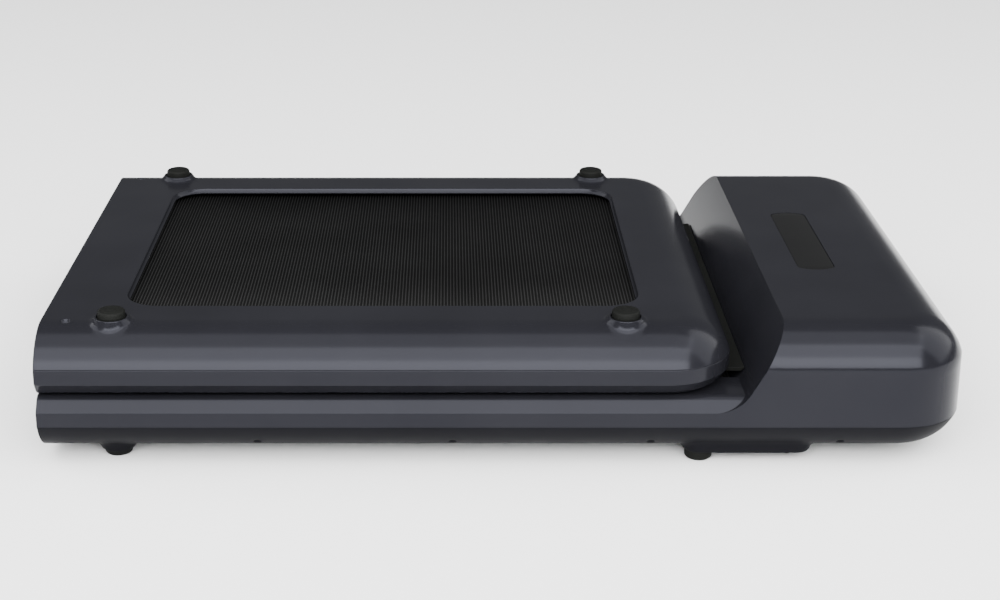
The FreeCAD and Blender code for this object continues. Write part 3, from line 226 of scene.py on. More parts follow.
def soften(piece, width, angle=28):
    """Rounds the sharp edges a little and keeps broad faces flat."""
    bevel = piece.modifiers.new("edges", "BEVEL")
    bevel.width = width * MM
    bevel.segments = 3
    bevel.limit_method = "ANGLE"
    bevel.angle_limit = math.radians(angle)
    bevel.harden_normals = True
    bevel.use_clamp_overlap = True


def spread(low, high, count):
    return [low + (high - low) * number / (count - 1) for number in range(count)]


def steps(low, high, pitch, extra=()):
    """Evenly spaced stations with extra ones let in."""
    places = spread(low, high, max(2, round((high - low) / pitch) + 1))
    inside = [place for place in extra if low < place < high]
    keep = [place for place in places
            if place in (low, high) or all(abs(place - other) > 1.2 for other in inside)]
    return sorted(keep + inside)


def mirrored(places):
    return [-place for place in reversed(places) if place != 0] + list(places)


# ------------------------------------------------------------------ curved sides

class Tray:
    """Shape of a half's outer shell: height above or below its flat at each distance across."""

    def __init__(self, flat, rim, outward):
        self.flat = flat
        self.rise = abs(rim - flat)
        self.radius = (EDGE_RUN ** 2 + self.rise ** 2) / (2 * self.rise)
        self.outward = outward
        self.turn = math.asin(EDGE_RUN / self.radius)

    def depth(self, run):
        """How far the surface has fallen away from the flat."""
        if run <= 0:
            return 0.0
        return self.radius - math.sqrt(self.radius ** 2 - run ** 2)

    def level(self, depth):
        """World height of a point that far inside the flat's plane."""
        return self.flat - self.outward * depth

    def runs(self, extra=()):
        runs = [self.radius * math.sin(self.turn * number / 22) for number in range(23)]
        inside = [run for run in extra if 0 < run < EDGE_RUN]
        keep = [run for run in runs
                if run in (0, runs[-1]) or all(abs(run - other) > 1.0 for other in inside)]
        return sorted(keep + inside)


BASE = Tray(BASE_FLAT, CREASE, -1)
REAR = Tray(REAR_TOP, 2 * FOLD_Z - CREASE, 1)
HEAD = Tray(HEAD_TOP, HEAD_CREASE, 1)


class Opening:
    """A square of shell left out under a round collar that carries a hole."""

    def __init__(self, x, y, half):
        self.x, self.y, self.half = x, y, half

    def edges_x(self):
        return [self.x - self.half, self.x + self.half]

    def edges_run(self):
        return [self.y - self.half - FLAT_Y, self.y + self.half - FLAT_Y]

    def covers(self, x, y):
        return abs(x - self.x) < self.half and abs(y - self.y) < self.half


def tray_piece(tray, end_x, openings, window=None):
    """Curved shell: long sides, round corners, free end and the flat between them."""
    surface = Surface()
    centre_x = end_x - CORNER
    centre_y = HALF_WIDTH - CORNER
    inner = FLAT_Y - 24
    stations = steps(START_X, centre_x, 12, [edge for hole in openings for edge in hole.edges_x()])
    extra = [edge for hole in openings for edge in hole.edges_run()]
    runs = tray.runs(extra)
    flats = sorted({inner - FLAT_Y} | {run for run in extra if run < 0} | {0.0})
    rows = flats[:-1] + runs
    for _, side in SIDES:
        for low, high in zip(rows, rows[1:]):
            for start, end in zip(stations, stations[1:]):
                middle = ((start + end) / 2, FLAT_Y + (low + high) / 2)
                if any(hole.covers(*middle) for hole in openings):
                    continue
                corners = []
                for x, run in ((start, low), (end, low), (end, high), (start, high)):
                    corners.append((x, side * (FLAT_Y + run), tray.level(tray.depth(run))))
                surface.face(corners)
    angles = spread(0, math.pi / 2, 17)
    for _, side in SIDES:
        corner_rows = []
        for run in runs:
            reach = FLAT_Y + run - centre_y
            row = []
            for angle in angles:
                row.append((centre_x + reach * math.sin(angle),
                            side * (centre_y + reach * math.cos(angle)), tray.level(tray.depth(run))))
            corner_rows.append(row)
        surface.grid(corner_rows)
    across = mirrored(steps(0, centre_y, 25))
    end_rows = []
    for run in runs:
        end_rows.append([(centre_x + FLAT_Y + run - centre_y, y, tray.level(tray.depth(run)))
                         for y in across])
    surface.grid(end_rows)
    flat_reach = FLAT_Y - centre_y
    edge = [(x, inner) for x in stations]
    edge += [(centre_x, FLAT_Y + run) for run in flats[1:]]
    edge += [(centre_x + flat_reach * math.sin(angle), centre_y + flat_reach * math.cos(angle))
             for angle in angles[1:]]
    edge += [(centre_x + flat_reach, y) for y in reversed(across[1:-1])]
    edge += [(centre_x + flat_reach * math.sin(angle), -centre_y - flat_reach * math.cos(angle))
             for angle in reversed(angles)]
    edge += [(centre_x, -FLAT_Y - run) for run in reversed(flats[:-1])]
    edge += [(x, -inner) for x in reversed(stations[:-1])]
    loops = [[(x, y, tray.flat) for x, y in edge]]
    if window:
        loops.append([(x, y, tray.flat) for x, y in window])
    surface.fill(loops)
    return surface


TURN_STEPS = 40
RUN_STEPS = 10


def contour(start_x, end_x, y, reach):
    """Closed outline at one distance from a stretch along X (or a point), anticlockwise."""
    points = []
    straight = spread(start_x, end_x, RUN_STEPS) if end_x > start_x else []
    for number in range(TURN_STEPS // 2 + 1):
        angle = -math.pi / 2 + math.pi * number / (TURN_STEPS // 2)
        points.append((end_x + reach * math.cos(angle), y + reach * math.sin(angle)))
    points += [(x, y + reach) for x in reversed(straight[1:-1])]
    for number in range(TURN_STEPS // 2 + (1 if straight else 0)):
        angle = math.pi / 2 + math.pi * number / (TURN_STEPS // 2)
        if straight or number:
            points.append((start_x + reach * math.cos(angle), y + reach * math.sin(angle)))
    points += [(x, y - reach) for x in straight[1:-1]]
    return points


def collar_rows(tray, start_x, end_x, y, side, profile):
    """Rows of a collar: each profile entry is (reach, height rule)."""
    rows = []
    for reach, rule in profile:
        row = []
        for x, across in contour(start_x, end_x, y, reach):
            depth = tray.depth(across - FLAT_Y)
            row.append((x, side * across, tray.level(-rule(depth, reach))))
        rows.append(row)
    return rows


def fixed(height):
    return lambda depth, reach: height


def flush(lift):
    return lambda depth, reach: lift - depth


BOSS_R = 15.6
BOSS_ROOT = 16.1
BOSS_FILLET = 5.5


def fillet(root, radius, top):
    """Height rule of a round that runs from the shell up on to a wall."""
    def rule(depth, reach):
        share = max(0.0, 1 - max(reach - root, 0.0) / radius)
        lift = radius * (1 - math.sqrt(1 - share * share))
        return min(lift + 0.03 - depth, top)
    return rule


def fillet_rows(root, radius, top, outer):
    rule = fillet(root, radius, top)
    reaches = [outer] + spread(root + radius, root, 9)
    return [(reach, rule) for reach in reaches]


def boss_profile(bore):
    lip = [(BOSS_R + 0.1, fixed(PROUD - 0.9)), (BOSS_R, fixed(PROUD - 0.5)),
           (BOSS_R - 0.25, fixed(PROUD - 0.12)), (BOSS_R - 0.6, fixed(PROUD)),
           (bore + 0.35, fixed(PROUD)), (bore + 0.1, fixed(PROUD - 0.12)), (bore, fixed(PROUD - 0.4)),
           (bore, fixed(PROUD - 4)), (bore - 1.5, fixed(PROUD - 4.2)), (0.5, fixed(PROUD - 4.2))]
    return fillet_rows(BOSS_ROOT, BOSS_FILLET, PROUD - 1.2, 25.0) + lip


BORE_R = 13.6


def boss_piece(name, tray, x, y, side, body, finish="shell"):
    surface = Surface()
    surface.grid(collar_rows(tray, x, x, y, side, boss_profile(BORE_R)), closed=True)
    piece = surface.piece(name, faces_up(tray.outward))
    finish_piece(piece, body, finish)


def screw_collar(name, tray, x, y, side, bore, body, seat, finish="shell"):
    """Rounded mouth of a screw hole, its wall and its seat."""
    surface = Surface()
    profile = [(bore * 1.65, flush(0.03)), (bore * 1.3, flush(0.03)),
               (bore * 1.08, flush(0.0)), (bore, flush(-0.3)), (bore, seat), (0.3, seat)]
    surface.grid(collar_rows(tray, x, x, y, side, profile), closed=True)
    piece = surface.piece(name, faces_up(tray.outward))
    finish_piece(piece, body, finish)


# ------------------------------------------------------------------ materials

def new_material(name):
    material = bpy.data.materials.new(name)
    material.use_nodes = True
    return material, material.node_tree, material.node_tree.nodes["Principled BSDF"]


def add_node(tree, kind, **inputs):
    node = tree.nodes.new("ShaderNode" + kind)
    for name, value in inputs.items():
        node.inputs[name.replace("_", " ")].default_value = value
    return node


def noise(tree, scale, detail):
    """Noise in object space, in features per metre."""
    place = add_node(tree, "TexCoord")
    cloud = add_node(tree, "TexNoise", Scale=scale, Detail=detail)
    tree.links.new(place.outputs["Object"], cloud.inputs["Vector"])
    return cloud.outputs["Fac"]


def ramp(tree, source, stops):
    """Colour ramp from (position, colour) pairs."""
    band = add_node(tree, "ValToRGB")
    while len(band.color_ramp.elements) < len(stops):
        band.color_ramp.elements.new(0.5)
    for element, (position, colour) in zip(band.color_ramp.elements, stops):
        element.position = position
        element.color = tuple(colour) + (1,)
    tree.links.new(source, band.inputs["Fac"])
    return band.outputs["Color"]


def span_map(tree, source, low, high):
    remap = add_node(tree, "MapRange")
    remap.inputs["To Min"].default_value = low
    remap.inputs["To Max"].default_value = high
    tree.links.new(source, remap.inputs["Value"])
    return remap.outputs["Result"]


def bump(tree, source, strength, distance):
    node = add_node(tree, "Bump", Strength=strength, Distance=distance)
    tree.links.new(source, node.inputs["Height"])
    return node.outputs["Normal"]


def coated(name, dark, light, roughness, spread_rough, grain, depth, metallic=0.0, specular=0.5,
           tint=(1, 1, 1)):
    """Finish with slow colour variation, uneven gloss and a fine grain."""
    material, tree, shader = new_material(name)
    slow = noise(tree, 9.0, 4.0)
    tree.links.new(ramp(tree, slow, ((0.3, dark), (0.7, light))), shader.inputs["Base Color"])
    patch = noise(tree, 60.0, 5.0)
    tree.links.new(span_map(tree, patch, roughness - spread_rough, roughness + spread_rough),
                   shader.inputs["Roughness"])
    fine = noise(tree, grain, 2.0)
    tree.links.new(bump(tree, fine, 0.25, depth), shader.inputs["Normal"])
    shader.inputs["Metallic"].default_value = metallic
    shader.inputs["Specular IOR Level"].default_value = specular
    shader.inputs["Specular Tint"].default_value = tuple(tint) + (1,)
    return material


def make_materials():
    return {
        "shell": coated("satin_anthracite", (0.0070, 0.0070, 0.0088), (0.0088, 0.0088, 0.0108),
                        0.20, 0.02, 1400.0, 0.000003, specular=0.12, tint=(0.84, 0.86, 1.0)),
        # The tray finish is matte (rougher, low specular), and its colour is also painted darker than the
        # shell paint: painted shade on the underside, which faces the floor.
        "tray": coated("matt_anthracite_painted_shade", (0.0042, 0.0042, 0.0054), (0.0052, 0.0052, 0.0066),
                       0.46, 0.04, 1200.0, 0.00002, specular=0.03),
        # The belt is one dark colour with a lighter copy on the rib crests: painted highlight on the crests,
        # and painted shade in the darker grooves between them.
        "belt": coated("belt_groove_painted_shade", (0.0012, 0.0012, 0.0012), (0.0022, 0.0022, 0.0022),
                       0.6, 0.06, 900.0, 0.00002, specular=0.04),
        "belt_crest_painted_highlight": coated("belt_crest_painted_highlight", (0.0065, 0.0065, 0.0065), (0.0095, 0.0095, 0.0095),
                           0.5, 0.06, 900.0, 0.00002, specular=0.10),
        "rubber": coated("dark_rubber", (0.0042, 0.0044, 0.0040), (0.0058, 0.0061, 0.0055),
                         0.62, 0.06, 700.0, 0.00003, specular=0.06),
        "moulded": coated("moulded_black", (0.003, 0.003, 0.0035), (0.005, 0.005, 0.0055),
                        0.5, 0.05, 1100.0, 0.00003, specular=0.12),
        "window": coated("smoked_window", (0.0050, 0.0050, 0.0050), (0.0062, 0.0062, 0.0060),
                         0.26, 0.03, 300.0, 0.000002, specular=0.10),
        "steel_black": coated("black_steel", (0.008, 0.008, 0.009), (0.014, 0.014, 0.015),
                              0.45, 0.08, 500.0, 0.00004, specular=0.2),
        "steel": coated("turned_steel", (0.42, 0.42, 0.44), (0.58, 0.58, 0.60),
                        0.32, 0.08, 260.0, 0.00005, metallic=1.0),
        "alloy": coated("cast_alloy", (0.5, 0.5, 0.52), (0.62, 0.62, 0.64),
                        0.42, 0.08, 400.0, 0.00008, metallic=1.0),
        "deck": coated("waxed_board", (0.05, 0.035, 0.022), (0.09, 0.065, 0.042),
                       0.5, 0.1, 180.0, 0.00008),
        "board": coated("solder_mask", (0.004, 0.05, 0.02), (0.008, 0.07, 0.03),
                        0.35, 0.05, 300.0, 0.00003),
    }


SLOT_FINISH = {
    "painted_shell": "shell",
    "black_plastic": "moulded",
    "gloss_black": "window",
    "switch_plastic": "moulded",
    "walking_belt": "belt",
    "rubber": "rubber",
    "painted_steel": "steel_black",
    "bright_steel": "steel",
    "aluminium": "alloy",
    "deck_wood": "deck",
    "circuit_board": "board",
}

NODE_FINISH = {"base_screws": "steel_black", "cover_screws": "steel_black"}
MATERIALS = make_materials()


def finish_piece(piece, body, finish):
    piece.data.materials.clear()
    piece.data.materials.append(MATERIALS[finish])
    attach(piece, body)


def dress_cad():
    """Gives every CAD node that stays in view its procedural finish."""
    slot_of = {entry["node"]: entry["material_slot"] for entry in frame["record"]["subparts"]}
    for name, node in nodes.items():
        material = MATERIALS[NODE_FINISH.get(name, SLOT_FINISH[slot_of[name]])]
        for slot in node.material_slots:
            slot.material = material


# ------------------------------------------------------------------ outer shells

def rounded_outline(low_x, high_x, half_y, radius, turns=12):
    """Rounded rectangle, anticlockwise."""
    points = []
    centres = ((high_x - radius, -half_y + radius, -90), (high_x - radius, half_y - radius, 0),
               (low_x + radius, half_y - radius, 90), (low_x + radius, -half_y + radius, 180))
    for x, y, first in centres:
        for number in range(turns + 1):
            angle = math.radians(first + 90 * number / turns)
            points.append((x + radius * math.cos(angle), y + radius * math.sin(angle)))
    return points


WINDOW = dict(low_x=-343.0, high_x=129.0, half_y=180.0, radius=33.0)
WINDOW_DEPTH = 7.0
WINDOW_BEVEL = 3.0


def rear_cover():
    feet = [Opening(x, FOOT_Y, 17.0) for x in (HINGE_FOOT_X, REAR_FOOT_X)]
    screws = [Opening(COVER_SCREW_X, FOOT_Y, 4.6)]
    window = rounded_outline(**WINDOW)
    surface = tray_piece(REAR, REAR_END, feet + screws, window)
    lower = dict(WINDOW)
    lower["low_x"] += WINDOW_BEVEL
    lower["high_x"] -= WINDOW_BEVEL
    lower["half_y"] -= WINDOW_BEVEL
    lower["radius"] -= WINDOW_BEVEL
    rows = []
    for share, depth in ((0.0, 0.0), (0.25, 2.2), (1.0, WINDOW_DEPTH - 2.4)):
        ring = []
        for (ax, ay), (bx, by) in zip(window, rounded_outline(**lower)):
            ring.append((ax + (bx - ax) * share, ay + (by - ay) * share, REAR.level(depth)))
        rows.append(ring)
    surface.grid(rows, closed=True)
    cover = surface.piece("rear_cover_shell", faces_up(1))
    thicken(cover, WALL)
    soften(cover, 0.9)
    finish_piece(cover, REAR_BODY, "shell")
    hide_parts("rear_cover")
    for label, side in SIDES:
        for number, x in enumerate((HINGE_FOOT_X, REAR_FOOT_X), start=1):
            boss_piece("rear_foot_boss_" + str(number) + label, REAR, x, FOOT_Y, side, REAR_BODY)
        screw_collar("cover_screw_well_" + label, REAR, COVER_SCREW_X, FOOT_Y, side, 4.4, REAR_BODY,
                     flush(-4.0))


def base_shell():
    feet = [Opening(HINGE_FOOT_X, FOOT_Y, 17.0)]
    screws = [Opening(x, SCREW_Y, 4.0) for x in SCREW_XS]
    wheels = [Opening(WHEEL_X, WHEEL_Y, 9.9)]
    surface = tray_piece(BASE, HEAD_END, feet + screws + wheels)
    shell = surface.piece("base_tray_shell", faces_up(-1))
    thicken(shell, WALL)
    soften(shell, 0.9)
    # The base and the bosses and screw wells let into it take the tray finish: matte, with painted shade in
    # its darker colour.
    finish_piece(shell, FRONT_BODY, "tray")
    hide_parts("base_shell")
    for label, side in SIDES:
        boss_piece("base_foot_boss_" + label, BASE, HINGE_FOOT_X, FOOT_Y, side, FRONT_BODY, "tray")
        pod_piece("wheel_pod_" + label, side)
        for number, x in enumerate(SCREW_XS, start=1):
            screw_collar("base_screw_well_" + str(number) + label, BASE, x, SCREW_Y, side, 3.7,
                         FRONT_BODY, fixed(BASE_FLAT - SCREW_HEAD_Z), "tray")


POD_BORE_R = 13.0
POD_BORE_DEPTH = 2.0
SLOT_HALF_X = 9.7
SLOT_HALF_Y = 6.8
SLOT_DEPTH = 15.5


def pod_piece(name, side):
    """Long pod with the head-end foot let into one end and a slot for the transport wheel."""
    surface = Surface()
    profile = fillet_rows(POD_REACH + 0.4, 4.5, POD_PROUD - 0.5, 24.0)
    profile += [(POD_REACH, fixed(POD_PROUD - 0.5)), (POD_REACH - 0.25, fixed(POD_PROUD - 0.12)),
                (POD_REACH - 0.7, fixed(POD_PROUD))]
    rows = collar_rows(BASE, HEAD_FOOT_X, POD_END_X, HEAD_FOOT_Y, side, profile)
    surface.grid(rows, closed=True)
    face = BASE.level(-POD_PROUD)
    bore = [(x, side * y, face) for x, y in contour(HEAD_FOOT_X, HEAD_FOOT_X, HEAD_FOOT_Y, POD_BORE_R)]
    slot = []
    for x, y in ((-1, -1), (1, -1), (1, 1), (-1, 1)):
        slot.append((WHEEL_X + x * SLOT_HALF_X, side * (WHEEL_Y + y * SLOT_HALF_Y), face))
    surface.fill([rows[-1], bore, slot])
    for loop, depth in ((bore, POD_BORE_DEPTH), (slot, SLOT_DEPTH)):
        low = [(x, y, face + depth) for x, y, _ in loop]
        surface.grid([loop, low], closed=True)
        surface.fill([low])
    pod = surface.piece(name, faces_up(-1))
    soften(pod, 0.4, 60)
    # The pod takes the tray finish: matte, with painted shade in its darker colour.
    finish_piece(pod, FRONT_BODY, "tray")


SLOPE_RISE = HEAD_TOP - BAND_TOP
SLOPE_LENGTH = math.hypot(SLOPE_RUN, SLOPE_RISE)
BLEND_RADIUS = SLOPE_BLEND * SLOPE_RISE / (SLOPE_LENGTH - SLOPE_RUN)
SLOPE_ANGLE = math.atan2(SLOPE_RISE, SLOPE_RUN)
BLEND_TOP = BAND_TOP + BLEND_RADIUS * (1 - math.cos(SLOPE_ANGLE))
SLOPE_START = SLOPE_FOOT - SLOPE_BLEND


def slope_x(height):
    """Where the head's slope stands at a height, with its rounded foot."""
    if height <= BAND_TOP:
        return SLOPE_START
    if height < BLEND_TOP:
        lift = BLEND_RADIUS - (height - BAND_TOP)
        return SLOPE_START + math.sqrt(BLEND_RADIUS ** 2 - lift ** 2)
    return SLOPE_FOOT + (height - BAND_TOP) * SLOPE_RUN / SLOPE_RISE


SLANT_RUN = HALF_WIDTH - LEDGE_OUT
SLANT_RISE = LEDGE_TOP - BAND_TOP
SLANT_LENGTH = math.hypot(SLANT_RUN, SLANT_RISE)
LEDGE_EDGE = LEDGE_OUT - LEDGE_ROUND * (SLANT_LENGTH - SLANT_RUN) / SLANT_RISE
ROUND_START = LEDGE_TOP - LEDGE_ROUND * (1 - SLANT_RUN / SLANT_LENGTH)
ROUND_LEVELS = [LEDGE_TOP - LEDGE_ROUND * (1 - SLANT_RUN / SLANT_LENGTH) * share
                for share in (1.0, 0.72, 0.48, 0.28, 0.12, 0.03, 0.0)]


def slant_y(height):
    """Distance across of the rail's slanted face, rounded over on to the ledge."""
    if height > ROUND_START:
        lift = height - (LEDGE_TOP - LEDGE_ROUND)
        return LEDGE_EDGE + math.sqrt(max(LEDGE_ROUND ** 2 - lift ** 2, 0))
    return HALF_WIDTH - SLANT_RUN * (height - BAND_TOP) / SLANT_RISE


BELT_SLOT_TOP = 63.5
INLET = dict(y=(106.0, 134.0), z=(57.0, 77.0))
SWITCH = dict(y=(68.0, 88.0), z=(59.0, 75.0))
KNUCKLE_SLOT = (211.0, 234.0)
KNUCKLE_SLOT_X = -387.5


def inside_span(value, pair):
    return pair[0] < value < pair[1]


def head_and_rails():
    """Cover of the motor head running on into both side rails, with no seam between."""
    surface = Surface()
    centre_x = HEAD_END - CORNER
    centre_y = HALF_WIDTH - CORNER
    blend_levels = [BAND_TOP + BLEND_RADIUS * (1 - math.cos(SLOPE_ANGLE * number / 12))
                    for number in range(1, 13)]
    wanted = [BELT_SLOT_TOP] + ROUND_LEVELS + list(INLET["z"]) + list(SWITCH["z"])
    levels = [level for level in blend_levels + [82.0, 88.0]
              if all(abs(level - other) > 0.6 for other in wanted)]
    band_levels = [CREASE, CREASE + 6, BAND_TOP] + sorted(levels + wanted) + [HEAD_CREASE]
    section = [(HALF_WIDTH, level) for level in band_levels]
    arc = [(FLAT_Y + run, HEAD.level(HEAD.depth(run))) for run in HEAD.runs()]
    section += list(reversed(arc))[1:]
    shares = spread(0, 1, 12)
    angles = spread(0, math.pi / 2, 17)
    stations = steps(START_X, SLOPE_START, 20, [KNUCKLE_SLOT_X])
    cuts = list(INLET["y"]) + list(SWITCH["y"])
    across = sorted(set([-y for y in steps(0, centre_y, 25)] + steps(0, centre_y, 25, cuts)))
    for _, side in SIDES:
        side_rows = []
        corner_rows = []
        for wide, level in section:
            first = slope_x(level)
            side_rows.append([(first + share * (centre_x - first), side * wide, level)
                              for share in shares])
            reach = wide - centre_y
            corner_rows.append([(centre_x + reach * math.sin(angle),
                                 side * (centre_y + reach * math.cos(angle)), level)
                                for angle in angles])
        surface.grid(side_rows)
        surface.grid(corner_rows)
        band = [[(x, side * HALF_WIDTH, level) for x in stations] for level in (CREASE, CREASE + 6, BAND_TOP)]
        surface.grid(band)
        rail_rows(surface, side, stations, [level for level in band_levels if BAND_TOP <= level <= LEDGE_TOP])
    end_levels = list(zip(section, section[1:]))
    for (wide_a, level_a), (wide_b, level_b) in end_levels:
        for y_a, y_b in zip(across, across[1:]):
            middle_y = (y_a + y_b) / 2
            middle_z = (level_a + level_b) / 2
            holes = [inside_span(middle_y, hole["y"]) and inside_span(middle_z, hole["z"])
                     for hole in (INLET, SWITCH)]
            if any(holes):
                continue
            reach_a = centre_x + wide_a - centre_y
            reach_b = centre_x + wide_b - centre_y
            surface.face(((reach_a, y_a, level_a), (reach_a, y_b, level_a),
                          (reach_b, y_b, level_b), (reach_b, y_a, level_b)))
    slope_faces(surface, section)
    top_edge = [(slope_x(HEAD_TOP) + share * (centre_x - slope_x(HEAD_TOP)), FLAT_Y) for share in shares]
    reach = FLAT_Y - centre_y
    top_edge += [(centre_x + reach * math.sin(angle), centre_y + reach * math.cos(angle))
                 for angle in angles[1:]]
    top_edge += [(centre_x + reach, y) for y in reversed(across[1:-1])]
    top_edge += [(centre_x + reach * math.sin(angle), -centre_y - reach * math.cos(angle))
                 for angle in reversed(angles)]
    top_edge += [(slope_x(HEAD_TOP) + share * (centre_x - slope_x(HEAD_TOP)), -FLAT_Y)
                 for share in reversed(shares[:-1])]
    columns = [column * FLAT_Y / HALF_WIDTH for column in SLOPE_COLUMNS]
    top_edge += [(slope_x(HEAD_TOP), y) for y in columns[1:-1]]
    hole = display_outline(0.3)
    surface.fill([[(x, y, HEAD_TOP) for x, y in top_edge], [(x, y, HEAD_TOP) for x, y in hole]])
    cover = surface.piece("head_and_rail_cover", faces_up(1))
    thicken(cover, WALL)
    soften(cover, 0.9)
    finish_piece(cover, FRONT_BODY, "shell")
    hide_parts("head_cover", "left_front_rail", "right_front_rail")


SLOPE_COLUMNS = [-HALF_WIDTH, -LEDGE_EDGE, -LEDGE_IN, -172.5, -138, -103.5, -69, -34.5, 0,
                 34.5, 69, 103.5, 138, 172.5, LEDGE_IN, LEDGE_EDGE, HALF_WIDTH]


def slope_faces(surface, section):
    """The head's slope: full width above the ledges, and what shows beside and between them."""
    upper = [(wide, level) for wide, level in section if level >= LEDGE_TOP]
    rows = []
    for wide, level in upper:
        rows.append([(slope_x(level), column * wide / HALF_WIDTH, level) for column in SLOPE_COLUMNS])
    surface.grid(rows)
    lower = [level for wide, level in section if BAND_TOP <= level <= LEDGE_TOP]
    for _, side in SIDES:
        beside = [[(slope_x(level), side * slant_y(level), level),
                   (slope_x(level), side * HALF_WIDTH, level)] for level in lower]
        surface.grid(beside)
    channel = [level for level in lower if level >= BELT_SLOT_TOP]
    inner = [column for column in SLOPE_COLUMNS if abs(column) <= LEDGE_IN]
    surface.grid([[(slope_x(level), column, level) for column in inner] for level in channel])


def rail_rows(surface, side, stations, levels):
    """Slanted face and ledge of a front rail, up to where they run into the slope."""
    rows = []
    for level in levels:
        wide = slant_y(level)
        row = [(x, side * wide, level) for x in stations[:-1]]
        row.append((SLOPE_START, side * wide, level))
        row.append((slope_x(level), side * wide, level))
        rows.append(row)
    surface.grid(rows)
    ledge = [LEDGE_EDGE, KNUCKLE_SLOT[1], KNUCKLE_SLOT[0], LEDGE_IN]
    places = stations + [slope_x(LEDGE_TOP)]
    for outer, inner in zip(ledge, ledge[1:]):
        for start, end in zip(places, places[1:]):
            slotted = inside_span((outer + inner) / 2, KNUCKLE_SLOT) and end <= KNUCKLE_SLOT_X
            if not slotted:
                surface.face(((start, side * outer, LEDGE_TOP), (end, side * outer, LEDGE_TOP),
                              (end, side * inner, LEDGE_TOP), (start, side * inner, LEDGE_TOP)))


def rear_band():
    """Band, slanted face and ledge round the rear half, in one run round its free end."""
    surface = Surface()
    mirror = 2 * FOLD_Z
    centre_x = REAR_END - CORNER
    centre_y = HALF_WIDTH - CORNER
    section = [(HALF_WIDTH, mirror - CREASE), (HALF_WIDTH, mirror - CREASE - 6),
               (HALF_WIDTH, mirror - BAND_TOP)]
    for level in [58.5, 61.5] + ROUND_LEVELS:
        section.append((slant_y(level), mirror - level))
    section += [(wide, mirror - LEDGE_TOP) for wide in (KNUCKLE_SLOT[1], KNUCKLE_SLOT[0], LEDGE_IN)]
    stations = steps(START_X, centre_x, 20, [KNUCKLE_SLOT_X])
    angles = spread(0, math.pi / 2, 17)
    across = mirrored(steps(0, centre_y, 25))
    for _, side in SIDES:
        for (wide_a, level_a), (wide_b, level_b) in zip(section, section[1:]):
            for start, end in zip(stations, stations[1:]):
                slotted = inside_span((wide_a + wide_b) / 2, KNUCKLE_SLOT) and end <= KNUCKLE_SLOT_X
                if slotted and level_a == level_b:
                    continue
                surface.face(((start, side * wide_a, level_a), (end, side * wide_a, level_a),
                              (end, side * wide_b, level_b), (start, side * wide_b, level_b)))
        rows = []
        for wide, level in section:
            reach = wide - centre_y
            rows.append([(centre_x + reach * math.sin(angle),
                          side * (centre_y + reach * math.cos(angle)), level) for angle in angles])
        surface.grid(rows)
    surface.grid([[(centre_x + wide - centre_y, y, level) for y in across] for wide, level in section])
    band = surface.piece("rear_side_band", faces_up(-1))
    thicken(band, WALL)
    soften(band, 0.9)
    finish_piece(band, REAR_BODY, "shell")
    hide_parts("left_rear_rail", "right_rear_rail", "rear_end_cap")


def end_walls():
    """Walls that close the rails at the fold, notched for the hinge ears."""
    top = LEDGE_TOP - 1
    notch = LEDGE_TOP - 12
    outline = ((LEDGE_IN, 14.1), (220, 15.7), (246, 28.0), (253, 39.5), (257, CREASE), (257, BAND_TOP - 0.5),
               (246, 65), (242, top), (KNUCKLE_SLOT[1], top), (KNUCKLE_SLOT[1], notch),
               (KNUCKLE_SLOT[0], notch), (KNUCKLE_SLOT[0], top), (LEDGE_IN, top))
    for body, flip in ((FRONT_BODY, False), (REAR_BODY, True)):
        for label, side in SIDES:
            surface = Surface()
            loops = []
            for x in (START_X + 0.3, START_X + WALL):
                loops.append([(x, side * wide, 2 * FOLD_Z - level if flip else level)
                              for wide, level in outline])
            surface.grid(loops, closed=True)
            surface.fill([loops[0]])
            surface.fill([loops[1]])
            wall = surface.piece(body + "_end_wall_" + label, lambda work: work.calc_volume(signed=True) > 0)
            soften(wall, 0.6, 50)
            finish_piece(wall, body, "shell")


# ------------------------------------------------------------------ display, lip and feet

DISPLAY = dict(x=306.0, half_x=17.5, half_y=82.0, bow=6.0)


def display_outline(margin):
    """Straight long sides, bowed short ends and small rounded corners."""
    half_x = DISPLAY["half_x"] + margin
    half_y = DISPLAY["half_y"] + margin
    corner = 5.0
    ordered = []
    for side in (1, -1):
        ordered.append((DISPLAY["x"] + side * half_x, side * (half_y - corner)))
        ordered.append((DISPLAY["x"] + side * half_x * 0.975, side * (half_y - corner * 0.35)))
        for number in range(1, 20):
            share = 1 - 2 * number / 20
            ordered.append((DISPLAY["x"] + side * half_x * share,
                            side * (half_y + DISPLAY["bow"] * (1 - share ** 2))))
        ordered.append((DISPLAY["x"] - side * half_x * 0.975, side * (half_y - corner * 0.35)))
        ordered.append((DISPLAY["x"] - side * half_x, side * (half_y - corner)))
    return ordered


def display_window():
    surface = Surface()
    rows = []
    for inset, level in ((0, HEAD_TOP - 2.4), (0, HEAD_TOP - 0.5), (0.25, HEAD_TOP - 0.22),
                         (0.7, HEAD_TOP - 0.15)):
        rows.append([(x, y, level) for x, y in display_outline(-inset)])
    surface.grid(rows, closed=True)
    surface.fill([rows[0]])
    surface.fill([rows[-1]])
    window = surface.piece("display_window_panel", lambda work: work.calc_volume(signed=True) > 0)
    finish_piece(window, FRONT_BODY, "window")
    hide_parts("display_window")


